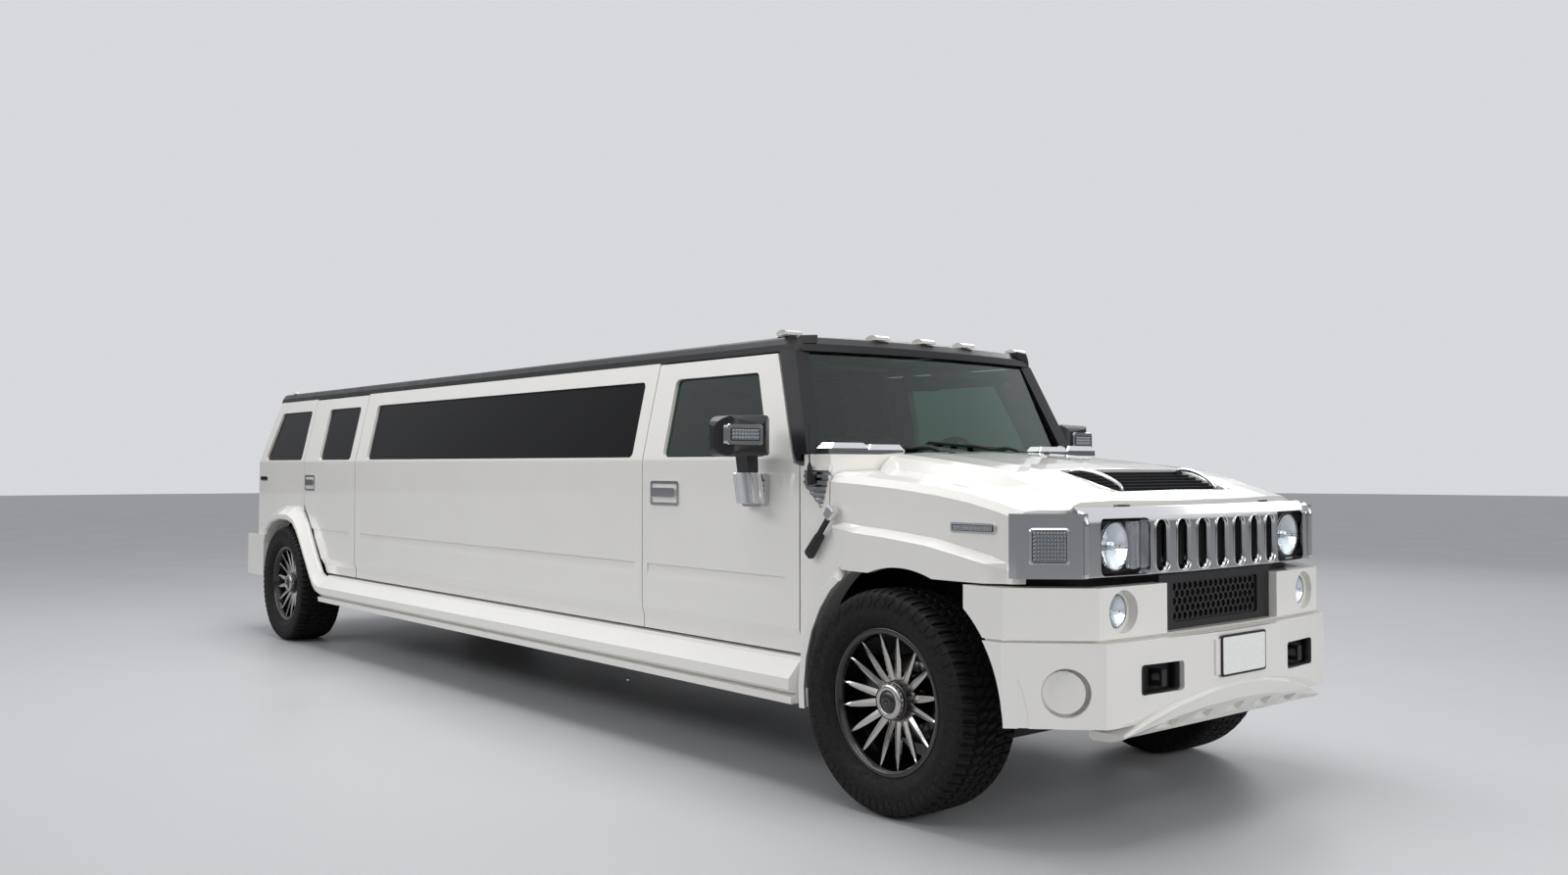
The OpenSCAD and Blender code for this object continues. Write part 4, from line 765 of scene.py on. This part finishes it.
def cabin_mirror():
    """Inside mirror under the header, with a stalk to the glass."""
    at, up = (fx(-0.775), 0.0, 1.772), (0.12, 0, 0.993)
    size, glass = (0.250, 0.070, 0.030), (0.240, 0.060, 0.026)
    panel("inside_mirror_shell", size, (-0.004, 0.022), at, ACROSS, up, "plastic", edge=0.008)
    panel("inside_mirror_glass", glass, (0.0042, 0.0060), at, (0, -1, 0), up, "silver", edge=0.001)
    start = np.array([fx(-0.760), 0.0, 1.775])
    end = screen_at(np.array(0.0), np.array(1.80), -0.009)
    v = np.linspace(0, 1, 8)[:, None]
    tube("inside_mirror_stalk", start * (1 - v) + end * v, 0.007, "plastic", MAIN, 10)


def cowl_screen():
    """Moulded cover with cross slots between the hood and the windscreen: its height falls in narrow
    grooves."""
    pitch, depth = 0.020, 0.005
    x = np.linspace(fx(-0.470), fx(-0.418), 14)[:, None]
    y = np.linspace(-0.600, 0.600, 361)[None, :]
    groove = (np.abs((y / pitch) % 1 - 0.5) < 0.22) * (np.abs(x - fx(-0.444)) < 0.019)
    top = COWL_Z + 0.009 - depth * groove
    upper = places(x, y, top)
    lower = upper * [1, 1, 0] + [0, 0, COWL_Z + 0.0002]
    block("cowl_screen", upper, lower, "plastic", MAIN)


blank_plate()
mirror_trim("left", 1, "door_fl")
mirror_trim("right", -1, "door_fr")
for name, pivot in (("left_wiper", 0.36), ("right_wiper", -0.20)):
    wiper(name, pivot)
for name, y in (("left_washer_jet", 0.33), ("right_washer_jet", -0.33)):
    washer_jet(name, y)
for name, side in SIDES:
    side_marker(name, side)
antenna()
cabin_mirror()
cowl_screen()


# Fascia and hood trim
def slot_liners():
    """Plated funnel in each grille slot: the slot's outline is drawn in step by step with depth."""
    slots, pitch = 7, 0.128
    # Face of the grille in the middle, and the radius of its bow
    face, bow = fx(0.860), 5.23
    outline = rounded([[-0.041, 0.976], [0.041, 0.976], [0.041, 1.172], [-0.041, 1.172]], 0.038, 9)
    inset = np.array([-0.0035, -0.003, 0.0, 0.004, 0.009, 0.004, -0.001])
    depth = np.array([-0.001, 0.0025, 0.0025, -0.014, -0.042, -0.044, -0.006])[:, None, None]
    for i in range(slots):
        funnel("slot_liner_" + str(i), outline + [(i - slots // 2) * pitch, 0.0], inset,
               lambda y: face - bow + np.sqrt(bow ** 2 - y ** 2) + depth, "chrome")


def fascia_trim():
    """Plated fins where the grille meets its corner pieces, plated walls beside the turn lamps, and black
    sleeves and back panels in the tow hook openings, which are painted shade for their dark inside."""
    z = np.linspace(0.970, 1.204, 20)
    lean = 0.030 * np.clip((z - 1.165) / 0.039, 0, 1) ** 2
    opening = rounded([[0.370, 0.546], [0.600, 0.546], [0.600, 0.654], [0.370, 0.654]], 0.014)
    inset = [0.0004, 0.0030, 0.0030, 0.0004]
    depth = np.array([-0.040, -0.040, -0.0885, -0.0885])[:, None, None]
    for side, s in SIDES:
        fin = places(fx(0.800) - lean, 0.790 * s, z)
        tube(side + "_grille_fin", fin, 0.011, "chrome", MAIN, 16)
        at = (fx(0.805), 0.4530 * s, 1.076)
        panel(side + "_bezel_wall", (0.070, 0.176, 0.010), (0.0, 0.0025), at, (-s, 0, 0), UP, "chrome")
        # Black sleeve and back panel: painted shade inside the tow hook opening, over its body-coloured
        # walls
        funnel(side + "_tow_painted_shade_sleeve", opening * [s, 1], inset, lambda y: fx(BUMPER_FACE) + depth, "seal")
        at = (fx(0.8555), 0.485 * s, 0.600)
        panel(side + "_tow_painted_shade_back", (0.226, 0.104, 0.012), (0.0, 0.003), at, ACROSS, UP, "seal")


def small_markers():
    """Rear side lamps in plated frames, and two small lamps at the rear corners of the roof."""
    for side, s in SIDES:
        at, along = (rx(-0.740), SKIN_Y * s, 1.263), (-s, 0, 0)
        name = side + "_rear_marker_"
        panel(name + "frame", (0.170, 0.036, 0.010), (0.0002, 0.008), at, along, UP, "chrome", edge=0.002)
        panel(name + "lens", (0.150, 0.022, 0.006), (0.0075, 0.0095), at, along, UP, "privacy", edge=0.001)
        top = hit("roof_frame", (rx(-0.44), 0.772 * s, FAR), DOWN)
        turn(side + "_rear_roof_lamp", *cap(0.030, 0.022, -0.002), top, (0, 0.02, 1), "marker", MAIN, 32)


# Sloping frame of the louvres on the hood
LEAN = math.radians(17.5)
DOWN_HOOD = np.array([math.cos(LEAN), 0.0, -math.sin(LEAN)])
OFF_HOOD = np.array([math.sin(LEAN), 0.0, math.cos(LEAN)])
VENT = np.array([fx(0.385), 0.0, 1.352])


def on_vent(x, y, z):
    """Place in the sloping frame of the hood's louvres."""
    x, y, z = [a[..., None] for a in np.broadcast_arrays(x, y, z)]
    return VENT + x * DOWN_HOOD + y * np.array(ACROSS) + z * OFF_HOOD


def vent_level():
    """Height of the hood round its louvre opening, in the sloping frame."""
    x, y = np.array([-0.012, -0.012, 0.292, 0.292]), np.array([0.30, -0.30, 0.25, -0.25])
    found = [hit("hood", (e[0], e[1], FAR), DOWN) for e in on_vent(x, y, 0.0)]
    return min(float((f - VENT) @ OFF_HOOD) for f in found)


def louvre_panel(level):
    """Black panel of seven louvres: height climbs along each blade and falls back sharply, across a panel
    that narrows towards the front."""
    blades, pitch, low = 7, 0.0388, -0.030
    step = np.array([0.0, 0.04, 0.56, 0.60, 0.64, 0.96])
    blade = [low, -0.009, -0.002, -0.005, low, low]
    x = np.append((0.004 + pitch * (np.arange(blades)[:, None] + step)).ravel(), 0.2756)
    rise = np.append(np.tile(blade, blades), low)
    u = np.linspace(-1, 1, 41)[:, None]
    half = 0.4265 - 0.050 * x / 0.28
    top = level + np.where(np.abs(u) > 0.955, -0.003, rise)
    upper = on_vent(x, u * half, top)
    lower = on_vent(x, u * half, level - 0.034)
    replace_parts(block("louvre_panel", upper, lower, "louvre", HOOD), "hood_vents")


def hood_rail(name, side, level):
    """Low plated hoop along one edge of the louvres: its height is a flattened half wave."""
    u = np.linspace(0, 1, 40)
    x = 0.030 + 0.225 * u
    y = side * (0.372 - 0.042 * u)
    z = level - 0.006 + 0.036 * np.sin(math.pi * u) ** 0.45
    rail = tube(name + "_hood_rail", on_vent(x, y, z), 0.0085, "chrome", HOOD, 16)
    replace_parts(rail, "hood_hardware")


def taper(start, end, wide_start, wide_end, radius):
    """Outline that runs between two places with a half width at each, and has rounded corners."""
    return rounded([[start, -wide_start], [end, -wide_end], [end, wide_end], [start, wide_start]], radius)


def hood_latch(name, side):
    """Rubber strap with a plated grip on top and a moulded holder below, laid along the flank."""
    high, low = np.array([fx(-0.341), 0.0, 1.192]), np.array([fx(-0.512), 0.0, 0.986])
    long = np.linalg.norm(low - high)
    u = (low - high) / long
    w = np.array([0.0, side, 0.0])
    v = np.cross(w, u)
    at = high + w * SKIN_Y
    # Part, tapered outline, base, top and look
    parts = (("grip", (-0.004, 0.052, 0.026, 0.022, 0.018), 0.022, 0.058, "chrome"),
             ("strap", (0.03, long - 0.02, 0.011, 0.011, 0.004), 0.030, 0.042, "seal"),
             ("holder", (long * 0.52, long, 0.017, 0.023, 0.014), 0.016, 0.040, "plastic"))
    for part, shape, base, top, look in parts:
        obj = slab(name + "_latch_" + part, taper(*shape), base, top, at, u, v, look, HOOD, 0.005)
        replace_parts(obj, "hood_hardware")


def cowl_covers():
    """Plated covers beside the wipers, with sloping sides."""
    x0, x1, base = fx(-0.512), fx(-0.412), COWL_Z + 0.0002
    for side, s in SIDES:
        for part, y0, y1, high in (("outer", 0.690, 0.918, 0.050), ("inner", 0.470, 0.700, 0.044)):
            corners = [[x0, y0 * s], [x1, y0 * s], [x1, y1 * s], [x0, y1 * s]][::s]
            slab(side + "_cowl_cover_" + part, rounded(corners, 0.012), base, COWL_Z + high, (0, 0, 0),
                 FORWARD, ACROSS, "chrome", MAIN, 0.024)


def cowl_wall():
    """Painted wall below the cowl that closes the view under the rear edge of the hood."""
    at = (fx(-0.4098), 0.0, 1.3445)
    panel("cowl_wall", (1.830, 0.052, 0.004), (0.0, 0.0045), at, ACROSS, UP, "paint")


def bumper_fillers():
    """Panel that closes the slit which the wheel arch's inner cut opens in the bumper's slanted corner."""
    for side, s in SIDES:
        at = (fx(0.672), 0.962 * s, 0.532)
        along = np.cross(UP, [0.695, 0.719 * s, 0.0])
        panel(side + "_bumper_filler", (0.096, 0.180, 0.004), (-0.014, -0.0010), at, along, UP, "paint")


def sill_liners():
    """Panel behind each skirt that closes the slot between its ledge and the floor in the doorways."""
    back, front = rx(0.600), fx(-0.566)
    low, high = 0.430, 0.5795
    size = (front - back, high - low, 0.004)
    for side, s in SIDES:
        at = ((back + front) / 2, 0.840 * s, (low + high) / 2)
        panel(side + "_sill_liner", size, (-0.004, 0.004), at, FORWARD, UP, "seal")


def cabin_trim():
    """Grab handle on the left screen post and two lined visors below the header."""
    u = np.linspace(0, 1, 24)
    foot, head = np.array([fx(-0.690), 0.745, 1.575]), np.array([fx(-0.800), 0.690, 1.800])
    bow = np.sin(math.pi * u)[:, None] ** 0.4 * np.array([-0.030, -0.045, 0.0])
    tube("grab_handle", foot + (head - foot) * u[:, None] + bow, 0.011, "lining", MAIN, 12)
    size, slope = (0.150, 0.440, 0.030), (0.975, 0, -0.22)
    for side, s in SIDES:
        at = (fx(-0.905), 0.36 * s, 1.846)
        panel(side + "_visor", size, (-0.008, 0.008), at, slope, ACROSS, "lining", edge=0.005)


slot_liners()
fascia_trim()
small_markers()
vent_top = vent_level()
louvre_panel(vent_top)
for name, side in SIDES:
    hood_rail(name, side, vent_top)
    hood_latch(name, side)
cowl_covers()
cowl_wall()
bumper_fillers()
sill_liners()
cabin_trim()


# Seats
def pad(name, middle, half, lean=0.0, channels=0, puff=0.10, nu=48, nv=72):
    """Stuffed cushion: a rounded block whose section is a superellipse in both directions, so its faces are
    crowned and its sides pull in. Sewn channels run across it as shallow rounded furrows, and it leans about
    the cross axis."""
    plan, section = 0.22, 0.35
    t = np.linspace(-math.pi / 2, math.pi / 2, nu)[:, None]
    p = np.linspace(-math.pi, math.pi, nv, endpoint=False)[None, :]
    x = power(np.cos(t), plan) * power(np.cos(p), plan)
    y = power(np.cos(t), plan) * power(np.sin(p), plan)
    z = power(np.sin(t), section)
    crown = 1 + puff * (1 - x ** 2) * (1 - y ** 2)
    if channels:
        furrow = np.abs(np.sin((y + 1) / 2 * channels * math.pi)) ** 0.45
        crown = crown * (0.90 + 0.10 * furrow)
    points = places(x * half[0], y * half[1], z * crown * half[2] / (1 + puff))
    c, s = math.cos(lean), math.sin(lean)
    points = points @ np.array([[c, 0, -s], [0, 1, 0], [s, 0, c]]) + np.array(middle)
    obj = grid(name, points, "leather", MAIN, wrap_v=True)
    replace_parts(obj, "seats")


def plinth(name, size, top, at, edge):
    """Moulded block between the floor and a seat."""
    obj = panel(name, size, (FLOOR_Z + 0.0003, top), at, FORWARD, ACROSS, "plastic", edge=edge)
    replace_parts(obj, "seats")


def seats():
    """Front seats with bolsters and head rests, and two benches, left and rear, all on plinths."""
    sit, back, rest = 0.04, math.radians(-80.5), math.radians(-82)
    bolster = {"puff": 0.25, "nu": 40, "nv": 64}
    for side, s in SIDES:
        y = 0.43 * s
        pad(side + "_seat_cushion", (fx(-1.370), y, 0.880), (0.255, 0.175, 0.080), sit, 3)
        pad(side + "_seat_back", (fx(-1.625), y, 1.265), (0.280, 0.175, 0.052), back, 3)
        for k in (-1, 1):
            end, edge = str(k + 1), y + k * 0.208
            low, high = (fx(-1.370), edge, 0.888), (fx(-1.618), edge, 1.250)
            pad(side + "_cushion_bolster_" + end, low, (0.250, 0.042, 0.072), sit, **bolster)
            pad(side + "_back_bolster_" + end, high, (0.260, 0.042, 0.062), back, **bolster)
        pad(side + "_head_rest", (fx(-1.690), y, 1.648), (0.088, 0.126, 0.042), rest, 0, 0.3, 48, 64)
        for k in (-1, 1):
            path = np.linspace([fx(-1.682), y + k * 0.06, 1.52], [fx(-1.690), y + k * 0.06, 1.62], 6)
            rod = tube(side + "_rest_rod_" + str(k + 1), path, 0.006, "chrome", MAIN, 10)
            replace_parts(rod, "seats")
        plinth(side + "_seat_base", (0.480, 0.460, 0.030), 0.800, (fx(-1.380), y, 0), 0.01)
    # Left bench in five places, then the rear bench in three
    width = 2.9 / 5
    half = width / 2 - 0.004
    for i in range(5):
        x = fx(-5.0) + (i + 0.5) * width
        pad("bench_cushion_" + str(i), (x, 0.575, 0.890), (half, 0.250, 0.090), puff=0.16)
        pad("bench_back_" + str(i), (x, 0.785, 1.150), (half, 0.046, 0.180), puff=0.12)
    for i in range(3):
        y = (i - 1) * 0.44
        pad("rear_cushion_" + str(i), (rx(0.830), y, 0.900), (0.218, 0.216, 0.090), puff=0.16)
        pad("rear_back_" + str(i), (rx(0.640), y, 1.235), (0.048, 0.216, 0.240), puff=0.12)
    plinth("bench_plinth", (2.88, 0.480, 0.02), 0.806, (fx(-3.55), 0.585, 0), 0.008)
    plinth("rear_plinth", (0.430, 1.30, 0.02), 0.806, (rx(0.825), 0, 0), 0.008)


seats()


# Stage, light and camera
def studio_floor():
    """Pale round floor: rings of quads about its middle."""
    around = 96
    far = np.concatenate([[0.01], np.linspace(2, 60, 30)])
    t = angles(around)[:, None]
    points = places(far * np.cos(t), far * np.sin(t), 0.0)
    faces = grid_faces(around, len(far), True, False)[:, ::-1]
    mesh = bpy.data.meshes.new("studio_floor")
    mesh.from_pydata(points.reshape(-1, 3).tolist(), [], faces.tolist())
    # Smooth sealed floor
    mesh.materials.append(surface("pale_floor", "B9BABC", 0.45, (0.40, 0.50, 900)))
    floor = bpy.data.objects.new("studio_floor", mesh)
    bpy.context.scene.collection.objects.link(floor)


def studio_room():
    """What is seen or mirrored of the room is pale, while it lights the object at a plain level."""
    seen_level, light_level = 0.72, 0.36
    world = bpy.data.worlds.new("studio")
    world.use_nodes = True
    room = world.node_tree.nodes["Background"]
    room.inputs[0].default_value = (0.94, 0.96, 1.0, 1.0)
    path = add(world, "LightPath")
    glossy = path.outputs["Is Glossy Ray"]
    up = add(world, "SeparateXYZ", {0: add(world, "TexCoord").outputs["Generated"]}).outputs[2]
    mirrored = add(world, "MapRange", {0: up, 1: -0.02, 2: 0.42, 3: 0.10, 4: 1.0}).outputs[0]
    seen = calc(world, "MAXIMUM", path.outputs["Is Camera Ray"], path.outputs["Is Transmission Ray"])
    other = calc(world, "SUBTRACT", 1.0, calc(world, "MAXIMUM", seen, glossy))
    level = calc(world, "MULTIPLY", seen, seen_level)
    level = calc(world, "ADD", level, calc(world, "MULTIPLY", glossy, mirrored))
    level = calc(world, "ADD", level, calc(world, "MULTIPLY", other, light_level))
    world.node_tree.links.new(level, room.inputs[1])
    bpy.context.scene.world = world


def soft_boxes():
    """Wide lights above, beside and ahead of the object."""
    # Name, place, aim, width, length, power
    boxes = [
        ("top_box", (0.5, -0.5, 6.5), (0.5, 0.0, 0.0), 10.0, 3.5, 420),
        ("side_box", (-2.0, -10.0, 7.0), (-1.0, 0.0, 1.0), 12.0, 3.5, 400),
        ("fill_box", (-2.0, 11.0, 7.0), (-1.0, 0.0, 1.0), 12.0, 3.5, 330),
        ("front_box", (14.0, 1.0, 4.5), (3.0, 0.0, 1.0), 6.0, 4.0, 400),
    ]
    for name, at, aim, width, length, watts in boxes:
        light = bpy.data.lights.new(name, "AREA")
        light.shape = "RECTANGLE"
        light.size, light.size_y, light.energy = width, length, watts
        lamp = bpy.data.objects.new(name, light)
        lamp.location = at
        lamp.rotation_euler = (Vector(aim) - Vector(at)).to_track_quat("-Z", "Y").to_euler()
        bpy.context.scene.collection.objects.link(lamp)


def photo_camera():
    """Camera that was solved from the photograph."""
    data = bpy.data.cameras.new("photo_camera")
    data.sensor_width, data.lens = 36.0, 29.69
    camera = bpy.data.objects.new("photo_camera", data)
    camera.location = (6.9909, -4.5860, 1.3745)
    yaw, pitch = math.radians(139.8675), math.radians(1.2141)
    way = Vector((math.cos(pitch) * math.cos(yaw), math.cos(pitch) * math.sin(yaw), math.sin(pitch)))
    camera.rotation_euler = way.to_track_quat("-Z", "Y").to_euler()
    bpy.context.scene.collection.objects.link(camera)
    bpy.context.scene.camera = camera
    bpy.context.scene.view_settings.view_transform = "Standard"


studio_floor()
studio_room()
soft_boxes()
photo_camera()
